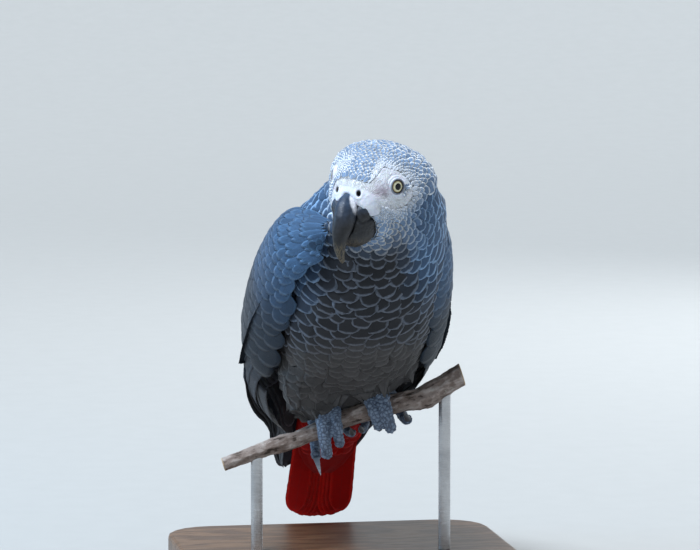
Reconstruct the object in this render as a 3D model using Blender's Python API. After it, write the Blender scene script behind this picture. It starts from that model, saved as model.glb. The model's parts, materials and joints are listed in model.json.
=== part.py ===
"""A grey parrot gripping a cut perch, as a life-size museum model on a plain display stand.

The bird faces -Y and +Z is up. Shapes are worked out in millimetres from the perch's middle, as
(side, forward, rise) with side to the bird's left, and set down over the stand's base in metres.
"""

import math
from collections import namedtuple
from functools import partial

import bpy
import numpy as np

MM = 0.001
GAP = 0.3  # between solids that meet
WING_GAP = 0.9  # the same round the wings, whose sections change quickly at the bend

# The stand: its base lies on the floor with the origin under its middle.
BASE_SIZE = (168.0, 152.0, 12.0)
BASE_CORNER = 24.0
BASE_EDGE = 2.0
BASE_TO_PERCH = 10.0  # the perch's middle is this far forward of the base's
PERCH_RISE = 80.0
ROD_RADIUS = 3.0
ROD_SPOTS = (-50.0, 50.0)  # along the perch

# The perch climbs to the bird's left and thickens that way.
PERCH_SLOPE = math.radians(17.5)
PERCH_TURN = math.radians(7.0)
PERCH_ENDS = (-68.0, 60.0)
PERCH_RADII = (3.5, 5.9)
PERCH_LIFTS = [
    (-68, -3.8), (-42, -2.6), (-30, -3.0), (-20, -2.1), (0, -0.4), (27, -1.1), (38, -2.4), (60, 3.0)
]

# The head, told by the middle between its eyes and how it turns.
EYES_MIDDLE = np.array([-4.3, 75.0, 123.6])
HEAD_YAW, HEAD_PITCH, HEAD_ROLL = 38.0, -5.0, 6.0
EYE_RADIUS = 7.5
EYE_PLACE = (12.2, 0.8, 0.4)  # the ball's middle: out from the head's mid-plane, ahead, up
EYE_POLE = (0.87, 0.47, 0.11)
EYE_LENS = 0.75  # how far the cornea stands out of the ball

# The folded wing, from its bend to its tip along a line that falls backwards.
WING_BEND = (38.0, 92.0)  # forward, rise
WING_FALL = math.radians(38.2)

# The tail.
TAIL_ROOT = (2.0, -67.0, 1.0)  # side, forward, rise
TAIL_FALL = math.radians(48.5)
TAIL_SWING = math.radians(3.0)  # towards the bird's left

CLAW_RADIUS = 1.75

Ring = namedtuple("Ring", "side forward rise yaw pitch roll wide above below square")
HeadRing = namedtuple("HeadRing", "ahead drop wide above below square")
WingRing = namedtuple("WingRing", "along side rise half lean camber thick")
TailRing = namedtuple("TailRing", "along half camber thick lift")
Toe = namedtuple("Toe", "digit radius start end t_start t_end reach claw_sweep claw_reach claw_t")

# Sections of trunk and neck, from the tail's root forwards.
TRUNK = [
    Ring(1.5, -76, -8, 0, 46, 0, 16, 10, 9.5, 2.2),
    Ring(1, -62, 6, 0, 46, 0, 24, 17, 20, 2.3),
    Ring(0, -40, 26, 0, 45, 0, 34, 25, 35, 2.5),
    Ring(0, -14, 50, 0, 43, 0, 40, 31, 46, 2.5),
    Ring(0, 10, 72, 0, 42, 0, 42.5, 32, 47, 2.4),
    Ring(1, 30, 90, 2, 38, 0, 41, 26, 45, 2.3),
    Ring(4, 44, 103, 9, 28, 1, 35.5, 22, 38, 2.1),
    Ring(5, 56, 112, 19, 15, 3, 31, 20, 34, 2.0),
    Ring(3.5, 66, 114, 28, 4, 5, 25.5, 15, 27, 2.0),
    Ring(0.5, 75, 113, 34, -2, 6, 15, 8, 19, 2.0),
]
NECK_FROM = 5  # the section where the neck begins

# Sections of the head, in its own frame: ahead of the eyes, and centred this far below them.
HEAD = [
    HeadRing(-35, 6.0, 10.0, 8.0, 11.0, 2.0),
    HeadRing(-31, 5.0, 19.5, 14.5, 19.0, 2.0),
    HeadRing(-20, 3.0, 27.2, 19.8, 25.0, 2.1),
    HeadRing(-9, 3.0, 26.2, 21.2, 27.0, 2.2),
    HeadRing(0, 4.0, 20.1, 19.7, 25.0, 2.45),
    HeadRing(8, 6.0, 15.8, 16.4, 20.0, 2.4),
    HeadRing(13.5, 8.0, 11.8, 11.8, 12.0, 2.2),
    HeadRing(17.5, 9.5, 7.2, 6.2, 6.0, 2.0),
]

# Sections of a wing. Half is half its breadth round the body, and lean tips that breadth inwards.
WING = [
    WingRing(-8, 40.0, 4, 7, 16, 2, 4.5),
    WingRing(-2, 39.5, 5, 14, 18, 5, 9),
    WingRing(10, 37.0, 6, 22, 22, 10, 12),
    WingRing(32, 35.5, 6.5, 28, 27, 14, 12),
    WingRing(64, 34.5, 7, 30, 31, 15.5, 10.5),
    WingRing(96, 31.5, 8, 29, 37, 14, 8.5),
    WingRing(126, 25.0, 9, 26, 45, 11, 6.5),
    WingRing(148, 19.5, 8, 19, 52, 7, 4.5),
    WingRing(157, 17.5, 4.5, 13, 54, 4.5, 3.8),
    WingRing(182, 14.5, 0, 10, 56, 2.8, 2.8),
    WingRing(203, 12.0, -3, 7.5, 58, 1.6, 2.0),
    WingRing(214, 11.0, -4.5, 3.0, 58, 0.6, 1.2),
]
WING_PARTS = {"coverts": (0, 5), "secondaries": (5, 7), "primaries": (7, 11)}
WING_STEPS = 16
WING_REACH = {"right": 0.5, "left": -2.0}  # how far each is held out beyond its sections

TAIL = [
    TailRing(0, 13.5, 2.5, 5.5, 0),
    TailRing(22, 16.0, 3.0, 4.8, 0),
    TailRing(48, 18.0, 3.2, 3.6, 0),
    TailRing(72, 19.2, 2.8, 2.6, 0),
    TailRing(88.5, 19.0, 2.6, 2.2, 0),
    TailRing(96, 15.0, 1.8, 1.9, 0),
    TailRing(99.5, 8.0, 0.8, 1.6, 0),
]
UNDERTAIL = [
    TailRing(-9, 12.0, 1.0, 6.0, -9.5),
    TailRing(6, 16.5, 1.6, 9.0, -7.4),
    TailRing(26, 17.0, 1.8, 6.0, -4.6),
    TailRing(46, 13.5, 1.6, 3.4, -3.0),
    TailRing(60, 5.0, 1.0, 1.6, -2.0),
]

# Toes in the order inner hind, inner front, outer front, outer hind. Angles go round the perch
# from its front (0), over its top (90) to its back (180); t is the place along the perch.
RIGHT_TOES = [
    Toe(1, 2.6, 95, 292, -9.0, -1.5, 1.05, 42, 1.10, -1.6),
    Toe(2, 3.3, 84, -52, -5.6, -9.2, 1.55, -50, 0.95, -9.4),
    Toe(3, 3.7, 84, -58, -12.0, -17.0, 1.75, -48, 1.05, -18.0),
    Toe(4, 3.1, 96, 262, -16.0, -22.5, 1.60, 8, 2.85, -23.0),
]
LEFT_TOES = [
    Toe(1, 2.6, 95, 288, 12.5, 3.5, 1.05, 42, 1.10, 3.0),
    Toe(2, 3.3, 84, -44, 11.4, 12.0, 1.40, -50, 0.95, 12.0),
    Toe(3, 3.7, 84, -50, 19.0, 17.4, 1.55, -48, 1.00, 17.0),
    Toe(4, 3.1, 96, 300, 21.5, 27.0, 1.12, 44, 1.25, 26.0),
]
PALMS = {"right": -11.0, "left": 16.4}  # where each foot's middle sits along the perch
PALM_SIZE = (6.6, 5.6, 3.7)
GRIP_ENDS = (-26.0, 30.0)  # where the toes need room round the perch
GRIP_ROOM = 8.9  # how far out of the perch that room goes
SHANK_RADIUS = 3.6
SHANK_TOP = {"right": (-5.0, -7.0, 12.0), "left": (3.0, -7.0, 12.0)}  # from the palm

# Feathered thighs, from hip to hock, and their girth along that way.
THIGHS = {
    "right": ((-20.0, 8.0, 42.0), (-19.0, -13.0, -3.0)),
    "left": ((20.0, 6.0, 48.0), (19.0, -12.0, 11.0)),
}
THIGH_GIRTHS = [3.0, 12.0, 16.5, 17.5, 16.5, 14.0, 10.0, 3.0]

FEATHER_GREY = (0.16, 0.19, 0.24)
FEATHER_PALE = (0.42, 0.48, 0.58)
FEATHER_DARK = (0.06, 0.07, 0.09)
TAIL_RED = (0.52, 0.02, 0.015)
HORN = (0.03, 0.032, 0.038)
SCALY_SKIN = (0.17, 0.20, 0.25)
EYE_YELLOW = (0.72, 0.68, 0.42)
BARK = (0.20, 0.14, 0.11)
BASE_WOOD = (0.10, 0.06, 0.04)
STEEL = (0.55, 0.55, 0.56)


def clear_scene():
    for obj in list(bpy.data.objects):
        bpy.data.objects.remove(obj)


def material(name, colour, roughness, metallic=0.0):
    made = bpy.data.materials.new(name)
    made.use_nodes = True
    shader = made.node_tree.nodes["Principled BSDF"]
    shader.inputs["Base Color"].default_value = (*colour, 1.0)
    shader.inputs["Roughness"].default_value = roughness
    shader.inputs["Metallic"].default_value = metallic
    return made


def in_place(points):
    """(side, forward, rise) in millimetres from the perch's middle, as metres over the base."""
    points = np.asarray(points, float)
    placed = np.empty_like(points)
    placed[..., 0] = points[..., 0]
    placed[..., 1] = -(points[..., 1] + BASE_TO_PERCH)
    placed[..., 2] = points[..., 2] + PERCH_RISE
    return placed * MM


def blended(rows, at):
    """The rows' values at a fractional row number, on a smooth curve through the rows."""
    rows = np.asarray(rows, float)
    last = len(rows) - 1
    first = min(int(math.floor(at)), last - 1)
    t = at - first
    before, a, b, after = (rows[min(max(first + k, 0), last)] for k in (-1, 0, 1, 2))
    rise, fall = (b - before) / 2, (after - a) / 2
    return (
        (2 * t**3 - 3 * t**2 + 1) * a
        + (t**3 - 2 * t**2 + t) * rise
        + (3 * t**2 - 2 * t**3) * b
        + (t**3 - t**2) * fall
    )


def axes(yaw, pitch, roll):
    """(left, ahead, up) of something that turns to the bird's right, rears up and drops its left."""
    yaw, pitch, roll = (math.radians(angle) for angle in (yaw, pitch, roll))
    ahead = np.array(
        [-math.sin(yaw) * math.cos(pitch), math.cos(yaw) * math.cos(pitch), math.sin(pitch)]
    )
    level = np.array([math.cos(yaw), math.sin(yaw), 0.0])
    upright = np.array(
        [math.sin(yaw) * math.sin(pitch), -math.cos(yaw) * math.sin(pitch), math.cos(pitch)]
    )
    left = level * math.cos(roll) - upright * math.sin(roll)
    up = upright * math.cos(roll) + level * math.sin(roll)
    return left, ahead, up


def bent(value, power):
    return math.copysign(abs(value) ** power, value)


def oval(middle, across, up, wide, above, below, square, count):
    """A closed section: an oval, squarer than an ellipse where square is over 2."""
    points = []
    for k in range(count):
        angle = 2 * math.pi * k / count
        x = bent(math.cos(angle), 2 / square)
        y = bent(math.sin(angle), 2 / square)
        points.append(middle + across * wide * x + up * (above if y > 0 else below) * y)
    return np.array(points)


def made_object(name, points, faces, look):
    mesh = bpy.data.meshes.new(name)
    mesh.from_pydata(in_place(points).tolist(), [], faces)
    mesh.materials.append(look)
    mesh.shade_smooth()
    mesh.set_sharp_from_angle(angle=math.radians(40))
    obj = bpy.data.objects.new(name, mesh)
    bpy.context.scene.collection.objects.link(obj)
    return obj


def loft(name, sections, look):
    """A closed solid through the sections, all of one size and running round the same way."""
    count = len(sections[0])
    points = np.concatenate(sections)
    quads = []
    for i in range(len(sections) - 1):
        here, there = i * count, (i + 1) * count
        for k in range(count):
            after = (k + 1) % count
            quads.append((here + k, here + after, there + after, there + k))
    last = (len(sections) - 1) * count
    faces = [tuple(reversed(range(count)))] + quads + [tuple(last + k for k in range(count))]
    middles = [section.mean(axis=0) for section in sections]
    spokes = sections[1] - middles[1]
    turn = np.cross(spokes, np.roll(spokes, -1, axis=0)).sum(axis=0)
    # Placing turns forward into -Y, which mirrors the winding.
    if np.dot(turn, middles[1] - middles[0]) > 0:
        faces = [tuple(reversed(face)) for face in faces]
    return made_object(name, points, faces, look)


def shifted(section, by):
    return section + np.asarray(by)


def cut_by(obj, cutters):
    for cutter in cutters:
        cutter.hide_render = True
        cutter.display_type = "WIRE"
        boolean = obj.modifiers.new("cut_" + cutter.name, "BOOLEAN")
        boolean.operation = "DIFFERENCE"
        boolean.solver = "EXACT"
        boolean.object = cutter


# ---- the perch and the stand --------------------------------------------------------------


PERCH_ALONG = np.array(
    [
        math.cos(PERCH_SLOPE) * math.cos(PERCH_TURN),
        math.cos(PERCH_SLOPE) * math.sin(PERCH_TURN),
        math.sin(PERCH_SLOPE),
    ]
)
PERCH_FRONT = np.array([-math.sin(PERCH_TURN), math.cos(PERCH_TURN), 0.0])
PERCH_UP = np.array(
    [
        -math.sin(PERCH_SLOPE) * math.cos(PERCH_TURN),
        -math.sin(PERCH_SLOPE) * math.sin(PERCH_TURN),
        math.cos(PERCH_SLOPE),
    ]
)


def perch_share(t):
    return (t - PERCH_ENDS[0]) / (PERCH_ENDS[1] - PERCH_ENDS[0])


def perch_middle(t):
    """The perch's centreline, which strays up and down as a cut branch does."""
    spots = [spot for spot, _ in PERCH_LIFTS]
    lifts = [[lift] for _, lift in PERCH_LIFTS]
    row = float(np.interp(t, spots, range(len(spots))))
    return PERCH_ALONG * t + PERCH_UP * float(blended(lifts, row)[0])


def perch_radius(t):
    share = perch_share(t)
    return PERCH_RADII[0] + (PERCH_RADII[1] - PERCH_RADII[0]) * share


def knot(t, spot, height, width):
    return height * math.exp(-(((t - spot) / width) ** 2))


def perch_sections(grow=0.0, steps=20, count=9):
    sections = []
    for i in range(steps + 1):
        t = PERCH_ENDS[0] + (PERCH_ENDS[1] - PERCH_ENDS[0]) * i / steps
        radius = perch_radius(t) + knot(t, -38, 0.8, 4) + knot(t, 41, 1.1, 5) + grow
        sections.append(
            oval(perch_middle(t), PERCH_FRONT, PERCH_UP, radius, radius, radius, 2.0, count)
        )
    return sections


def grip_sections(count=12):
    """The perch with room for the toes where they grip it."""
    start, end = GRIP_ENDS
    stops = [PERCH_ENDS[0], start - 1, start, start * 0.5, 2, end * 0.5, end, end + 1, PERCH_ENDS[1]]
    sections = []
    for t in stops:
        reach = perch_radius(t) + (GRIP_ROOM if start <= t <= end else 1.5)
        sections.append(oval(perch_middle(t), PERCH_FRONT, PERCH_UP, reach, reach, reach, 2.0, count))
    return sections


def build_perch_and_stand():
    bark = material("bark", BARK, 0.85)
    wood = material("base_wood", BASE_WOOD, 0.45)
    steel = material("steel", STEEL, 0.3, 1.0)
    loft("perch", perch_sections(), bark)
    long, deep, thick = BASE_SIZE
    corners = [(1, 1), (-1, 1), (-1, -1), (1, -1)]
    steps = 5

    def outline(inset, rise):
        points = []
        for quarter, (sx, sy) in enumerate(corners):
            for k in range(steps + 1):
                angle = math.pi / 2 * (quarter + k / steps)
                reach = BASE_CORNER - inset
                points.append(
                    (
                        sx * (long / 2 - BASE_CORNER) + reach * math.cos(angle),
                        sy * (deep / 2 - BASE_CORNER) + reach * math.sin(angle) - BASE_TO_PERCH,
                        rise - PERCH_RISE,
                    )
                )
        return np.array(points)

    softened = [
        outline(0, 0),
        outline(0, thick - BASE_EDGE),
        outline(BASE_EDGE * 0.3, thick - BASE_EDGE * 0.3),
        outline(BASE_EDGE, thick),
    ]
    loft("stand_base", softened, wood)
    clearance = loft("cutter_perch_for_rods", perch_sections(grow=GAP), bark)
    for name, t in zip(("right", "left"), ROD_SPOTS, strict=True):
        spot = perch_middle(t)
        foot = np.array([spot[0], spot[1], thick + GAP - PERCH_RISE])
        head = np.array([spot[0], spot[1], spot[2] - 1.0])
        across, deepwise = np.array([1.0, 0, 0]), np.array([0, 1.0, 0])
        radii = (ROD_RADIUS, ROD_RADIUS, ROD_RADIUS)
        ends = [oval(end, across, deepwise, *radii, 2.0, 20) for end in (foot, head)]
        rod = loft("stand_rod_" + name, ends, steel)
        cut_by(rod, [clearance])


# ---- the wings and the tail ---------------------------------------------------------------


def swollen(outline, grow):
    """A flat outline, run anticlockwise, moved outwards along its own normals."""
    before = outline - np.roll(outline, 1, axis=0)
    after = np.roll(outline, -1, axis=0) - outline
    before /= np.linalg.norm(before, axis=1)[:, None]
    after /= np.linalg.norm(after, axis=1)[:, None]
    along = before + after
    normal = np.stack([along[:, 1], -along[:, 0]], axis=1)
    normal /= np.linalg.norm(normal, axis=1)[:, None]
    edge_normal = np.stack([after[:, 1], -after[:, 0]], axis=1)
    square_on = np.maximum((normal * edge_normal).sum(axis=1), 0.4)
    return outline + normal * (grow / square_on)[:, None]


def lens(middle, chord, out, half, camber, thick, grow, count=8):
    """A section that bulges outwards along an arc and thins to its two edges."""
    v = -np.cos(np.pi * np.arange(count + 1) / count)
    bulge = camber * (1 - v * v)
    depth = np.maximum(thick * (1 - v**4), 0.6)
    outer = np.stack([half * v, bulge], axis=1)
    inner = np.stack([half * v, bulge - depth], axis=1)
    outline = np.concatenate([inner, outer[::-1]])
    if grow:
        outline = swollen(outline, grow)
    return middle + outline[:, :1] * chord + outline[:, 1:] * out


def wing_section(row, name, grow=0.0):
    ring = WingRing(*row)
    mirror = 1 if name == "left" else -1
    back = np.array([0.0, -math.cos(WING_FALL), -math.sin(WING_FALL)])
    dorsal = np.array([0.0, -math.sin(WING_FALL), math.cos(WING_FALL)])
    outward = np.array([float(mirror), 0.0, 0.0])
    lean = math.radians(ring.lean)
    chord = dorsal * math.cos(lean) - outward * math.sin(lean)
    out = outward * math.cos(lean) + dorsal * math.sin(lean)
    bend = np.array([0.0, WING_BEND[0], WING_BEND[1]])
    middle = bend + back * ring.along + dorsal * ring.rise + outward * (ring.side + WING_REACH[name])
    return lens(middle, chord, out, ring.half, ring.camber, ring.thick, grow), back


def build_wings(looks):
    """Both wings in three lengths each, and one grown copy of each whole wing to cut with."""
    cutters = []
    for name in WING_REACH:
        grown = []
        for part, (first, last) in WING_PARTS.items():
            steps = max(4, round(WING_STEPS * (last - first) / (len(WING) - 1)))
            sections = []
            for i in range(steps + 1):
                row = blended(WING, first + (last - first) * i / steps)
                section, back = wing_section(row, name)
                sections.append(shifted(section, back * GAP) if i == 0 and first else section)
                if i or not first:
                    grown.append(wing_section(row, name, WING_GAP)[0])
            loft(f"wing_{name}_{part}", sections, looks[part])
        grown[0] = shifted(grown[0], -back * WING_GAP)
        cutters.append(loft("cutter_wing_" + name, grown, looks["coverts"]))
    return cutters


def tail_sections(rows, steps, grow=0.0):
    level = np.array([math.sin(TAIL_SWING), -math.cos(TAIL_SWING), 0.0])
    across = np.array([math.cos(TAIL_SWING), math.sin(TAIL_SWING), 0.0])
    upright = np.array([0.0, 0.0, 1.0])
    back = level * math.cos(TAIL_FALL) - upright * math.sin(TAIL_FALL)
    dorsal = level * math.sin(TAIL_FALL) + upright * math.cos(TAIL_FALL)
    sections = []
    for i in range(steps + 1):
        ring = TailRing(*blended(rows, (len(rows) - 1) * i / steps))
        middle = np.array(TAIL_ROOT) + back * ring.along + dorsal * ring.lift
        sections.append(lens(middle, across, dorsal, ring.half, ring.camber, ring.thick, grow))
    sections[0] = shifted(sections[0], -back * grow)
    return sections


def build_tail(looks):
    tail = loft("tail", tail_sections(TAIL, 9), looks["tail"])
    under = loft("undertail_coverts", tail_sections(UNDERTAIL, 6), looks["tail"])
    grown_tail = loft("cutter_tail", tail_sections(TAIL, 9, GAP), looks["tail"])
    grown_under = loft("cutter_undertail", tail_sections(UNDERTAIL, 6, GAP), looks["tail"])
    cut_by(under, [grown_tail])
    return tail, [grown_tail, grown_under]


# ---- trunk, neck and head -----------------------------------------------------------------


def head_point(side, ahead, up):
    left, forward, upward = axes(HEAD_YAW, HEAD_PITCH, HEAD_ROLL)
    return EYES_MIDDLE + left * side + forward * ahead + upward * up


def body_section(ring, count, grow=0.0):
    left, ahead, up = axes(ring.yaw, ring.pitch, ring.roll)
    middle = np.array([ring.side, ring.forward, ring.rise])
    sizes = (ring.wide + grow, ring.above + grow, ring.below + grow)
    return oval(middle, left, up, *sizes, ring.square, count), ahead


def body_part(name, first, last, steps, look, count=20):
    sections = []
    for i in range(steps + 1):
        ring = Ring(*blended(TRUNK, first + (last - first) * i / steps))
        section, ahead = body_section(ring, count)
        sections.append(shifted(section, ahead * GAP) if i == 0 and first else section)
    return loft(name, sections, look)


def head_sections(steps=12, count=20, grow=0.0):
    sections = []
    for i in range(steps + 1):
        row = HeadRing(*blended(HEAD, (len(HEAD) - 1) * i / steps))
        middle = head_point(0.0, row.ahead, -row.drop)
        sizes = (row.wide, row.above, row.below, row.square)
        ring = Ring(*middle, HEAD_YAW, HEAD_PITCH, HEAD_ROLL, *sizes)
        section, ahead = body_section(ring, count, grow)
        ends = {0: -grow, steps: grow}
        sections.append(shifted(section, ahead * ends.get(i, 0.0)))
    return sections


# ---- eyes and bill ------------------------------------------------------------------------


def ball(name, middle, radius, look, pole, lens_height=0.0, rings=8, count=12):
    """A ball round the axis pole, which can swell at that pole as a cornea does."""
    pole = pole / np.linalg.norm(pole)
    side = np.cross(pole, [0.0, 0.0, 1.0])
    side /= np.linalg.norm(side)
    other = np.cross(pole, side)
    sections = []
    for i in range(1, rings):
        angle = math.pi * (1 - i / rings)
        swell = lens_height * math.exp(-((angle / 0.42) ** 2))
        reach = radius + swell
        spot = middle + pole * reach * math.cos(angle)
        across = reach * math.sin(angle)
        sections.append(oval(spot, side, other, across, across, across, 2.0, count))
    return loft(name, sections, look)


def build_eyes(look):
    sockets = []
    left, ahead, up = axes(HEAD_YAW, HEAD_PITCH, HEAD_ROLL)
    for name, side in (("right", -1), ("left", 1)):
        middle = head_point(side * EYE_PLACE[0], EYE_PLACE[1], EYE_PLACE[2])
        pole = left * side * EYE_POLE[0] + ahead * EYE_POLE[1] + up * EYE_POLE[2]
        ball("eye_" + name, middle, EYE_RADIUS - EYE_LENS, look, pole, EYE_LENS)
        sockets.append(ball("cutter_socket_" + name, middle, EYE_RADIUS + GAP, look, pole))
    return sockets


BILL_MIDDLE = (11.0, -20.5)  # ahead of and above the eyes: what the bill curls round
BILL_ANGLES = (92.0, -49.0)
BILL_LEAN = -0.095  # its mid-plane leans sideways this much for each unit of height
BILL_LEAN_FROM = -30.0  # above the eyes, where it meets the head's mid-plane
BILL_BEND = 1.3  # and half-way down it bows to the bird's left by this
# Sections of the upper bill from its base in the forehead to its tip: inner and outer reach from
# that middle, half width, and how flat its sides are.
BILL = [
    (5.0, 17.0, 2.9),
    (4.0, 18.7, 4.7),
    (4.5, 19.4, 5.6),
    (6.0, 19.6, 5.7),
    (8.0, 19.6, 5.1),
    (11.0, 19.7, 3.8),
    (14.0, 20.0, 2.5),
    (17.4, 19.9, 1.1),
]


def bill_point(side, ahead, up):
    bend = BILL_BEND * math.exp(-(((up - BILL_MIDDLE[1] / 2 + 4.0) / 10.0) ** 2))
    return head_point(side + BILL_LEAN * (up - BILL_LEAN_FROM) + bend, ahead, up)


def bill_section(inner, outer, half, angle, grow):
    """Rounded at the ridge and flat below, square to the curl of the bill."""
    inner, outer, half = inner - grow, outer + grow, half + grow
    points = []
    for k in range(14):
        turn = 2 * math.pi * k / 14
        depth = (1 + math.sin(turn)) / 2
        reach = inner + (outer - inner) * depth
        width = half * bent(math.cos(turn), 0.75) * (1.0 - 0.18 * depth)
        ahead = BILL_MIDDLE[0] + reach * math.cos(angle)
        up = BILL_MIDDLE[1] + reach * math.sin(angle)
        points.append(bill_point(width, ahead, up))
    return np.array(points)


def bill_sections(grow=0.0, steps=13):
    sections = []
    for i in range(steps + 1):
        share = i / steps
        angle = math.radians(BILL_ANGLES[0] + (BILL_ANGLES[1] - BILL_ANGLES[0]) * share)
        inner, outer, half = blended(BILL, (len(BILL) - 1) * share)
        sections.append(bill_section(inner, outer, half, angle, grow))
    return sections


LOWER_BILL_MIDDLE = (10.0, -16.2)  # ahead, up
LOWER_BILL_SIZE = (10.4, 13.4, 13.0)
LOWER_BILL_LOBE = 0.45  # how far its upper edges swell where they pass outside the upper bill


def lower_bill_sections(grow=0.0, rings=9, count=14):
    """A rounded scoop, longest forwards and cut flat behind, where it enters the cheeks."""
    wide, long, tall = (size + grow for size in LOWER_BILL_SIZE)
    sections = []
    for i in range(rings):
        angle = math.pi * (0.97 - 0.94 * i / (rings - 1))
        ahead = LOWER_BILL_MIDDLE[0] + long * math.cos(angle)
        share = math.sin(angle) ** 0.9
        points = []
        for k in range(count):
            turn = 2 * math.pi * k / count
            lobe = 1 + LOWER_BILL_LOBE * max(0.0, math.sin(turn)) ** 2
            side = wide * share * bent(math.cos(turn), 0.85) * lobe
            up = LOWER_BILL_MIDDLE[1] + tall * share * bent(math.sin(turn), 0.9)
            points.append(bill_point(side, ahead, up - 0.16 * (ahead - LOWER_BILL_MIDDLE[0])))
        sections.append(np.array(points))
    return sections


def build_head(neck, feathers, horn, eye_look):
    head = loft("head", head_sections(), feathers)
    cut_by(neck, [loft("cutter_head", head_sections(grow=GAP), feathers)])
    grown_upper = loft("cutter_bill_upper", bill_sections(GAP), horn)
    grown_lower = loft("cutter_bill_lower", lower_bill_sections(GAP), horn)
    cut_by(neck, [grown_lower])
    cut_by(head, [*build_eyes(eye_look), grown_upper, grown_lower])
    loft("bill_upper", bill_sections(), horn)
    cut_by(loft("bill_lower", lower_bill_sections(), horn), [grown_upper])


# ---- legs and feet ------------------------------------------------------------------------


def grip_point(t, angle, reach):
    """A point round the perch: at t along it, at an angle from its front over its top."""
    turn = math.radians(angle)
    return perch_middle(t) + PERCH_FRONT * reach * math.cos(turn) + PERCH_UP * reach * math.sin(turn)


def toe_path(toe, share):
    """The toe's centreline, which leaves the perch's curve towards its tip."""
    t = toe.t_start + (toe.t_end - toe.t_start) * share
    angle = toe.start + (toe.end - toe.start) * share
    hug = perch_radius(t) + toe.radius + GAP
    return grip_point(t, angle, hug * (1 + (toe.reach - 1) * share**2.2))


def claw_path(toe, share):
    t = toe.t_end + (toe.claw_t - toe.t_end) * share
    angle = toe.end + toe.claw_sweep * share
    hug = perch_radius(t) + toe.radius + GAP
    return grip_point(t, angle, hug * (toe.reach + (toe.claw_reach - toe.reach) * share))


def tube(name, path, radius_at, look, steps, count):
    """A round solid along path(share) from share 0 to 1, with rings square to it."""
    sections = []
    for i in range(steps + 1):
        share = i / steps
        middle = path(share)
        ahead = path(min(share + 0.01, 1.0)) - path(max(share - 0.01, 0.0))
        ahead /= np.linalg.norm(ahead)
        side = np.cross(ahead, np.cross(PERCH_ALONG, ahead))
        side /= np.linalg.norm(side)
        across = np.cross(ahead, side)
        reach = radius_at(share)
        sections.append(oval(middle, side, across, reach, reach, reach, 2.0, count))
    return loft(name, sections, look)


def toe_girth(toe, grow):
    """Joint pads swell along the toe, which thins to its claw."""

    def girth(share):
        pads = 0.06 * math.cos(2 * math.pi * 3 * share)
        return toe.radius * (1.0 - 0.22 * share) * (1 + pads) + grow

    return girth


def claw_girth(share):
    return CLAW_RADIUS * (1 - share) ** 0.8 + 0.28


def palm_sections(t, grow=0.0):
    wide, long, tall = (size + grow for size in PALM_SIZE)
    middle = grip_point(t, 97, perch_radius(t) + PALM_SIZE[2] + GAP)
    sections = []
    for i in range(1, 8):
        angle = math.pi * i / 8
        spot = middle + PERCH_ALONG * wide * math.cos(angle)
        share = math.sin(angle)
        sections.append(
            oval(spot, PERCH_FRONT, PERCH_UP, long * share, tall * share, tall * share, 2.0, 12)
        )
    return sections


def straight(start, end):
    start, end = np.array(start), np.array(end)
    return lambda share: start + (end - start) * share


def build_thigh(name, look):
    """The thigh, and its grown copy."""
    path = straight(*THIGHS[name])

    table = [[reach] for reach in THIGH_GIRTHS]

    def girth(share, grow=0.0):
        return float(blended(table, (len(table) - 1) * share)[0]) + grow

    def grown_girth(share):
        return girth(share, GAP)

    thigh = tube("thigh_" + name, path, girth, look, 8, 12)
    return thigh, tube("cutter_thigh_" + name, path, grown_girth, look, 8, 12)


def build_foot(name, toes, scaly, horn):
    """Palm, shank, toes and claws. Returns the grown shank, which cuts the flesh above."""
    t = PALMS[name]
    cutters = [loft("cutter_palm_" + name, palm_sections(t, GAP), scaly)]
    loft("foot_" + name, palm_sections(t), scaly)
    for toe in sorted(toes, key=lambda toe: -toe.radius):
        label = f"{name}_{toe.digit}"
        path = partial(toe_path, toe)
        made = tube("toe_" + label, path, toe_girth(toe, 0.0), scaly, 9, 8)
        grown = tube("cutter_toe_" + label, path, toe_girth(toe, GAP), scaly, 9, 8)
        cut_by(made, cutters)
        claw = tube("claw_" + label, partial(claw_path, toe), claw_girth, horn, 5, 7)
        cut_by(claw, [grown])
        cutters.append(grown)
    instep = grip_point(t, 100, perch_radius(t) + PALM_SIZE[2])
    lean = np.array(SHANK_TOP[name])
    up_the_leg = straight(instep, instep + lean)
    shank = tube("shank_" + name, up_the_leg, lambda _: SHANK_RADIUS, scaly, 2, 10)
    cut_by(shank, cutters)
    room = straight(instep, instep + lean * 1.04)
    return tube("cutter_shank_" + name, room, lambda _: SHANK_RADIUS + GAP, scaly, 2, 10)


# ---- the whole bird -----------------------------------------------------------------------


def main():
    clear_scene()
    grey = material("feathers_grey", FEATHER_GREY, 0.7)
    pale = material("feathers_pale", FEATHER_PALE, 0.7)
    dark = material("feathers_dark", FEATHER_DARK, 0.6)
    red = material("feathers_red", TAIL_RED, 0.6)
    horn = material("horn", HORN, 0.35)
    scaly = material("scaly_skin", SCALY_SKIN, 0.55)
    eye_look = material("eye_yellow", EYE_YELLOW, 0.1)

    build_perch_and_stand()
    wing_cutters = build_wings({"coverts": grey, "secondaries": grey, "primaries": dark})
    _, tail_cutters = build_tail({"tail": red})
    trunk = body_part("trunk", 0, NECK_FROM, 11, grey)
    neck = body_part("neck", NECK_FROM, len(TRUNK) - 1, 8, grey)
    grip = loft("cutter_grip", grip_sections(), grey)
    cut_by(trunk, [grip, *wing_cutters, *tail_cutters])
    cut_by(neck, wing_cutters)
    for name, toes in (("right", RIGHT_TOES), ("left", LEFT_TOES)):
        thigh, grown_thigh = build_thigh(name, grey)
        grown_shank = build_foot(name, toes, scaly, horn)
        cut_by(thigh, [grip, grown_shank, *wing_cutters])
        cut_by(trunk, [grown_thigh, grown_shank])
    build_head(neck, pale, horn, eye_look)


main()
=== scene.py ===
"""Looks of the grey parrot: one skin in place of its flesh nodes, feathers laid on it as solid vanes,
horn, eyes, scaly feet, the cut perch and its plain stand. Lengths are in metres."""

import heapq
import json
import math

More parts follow.
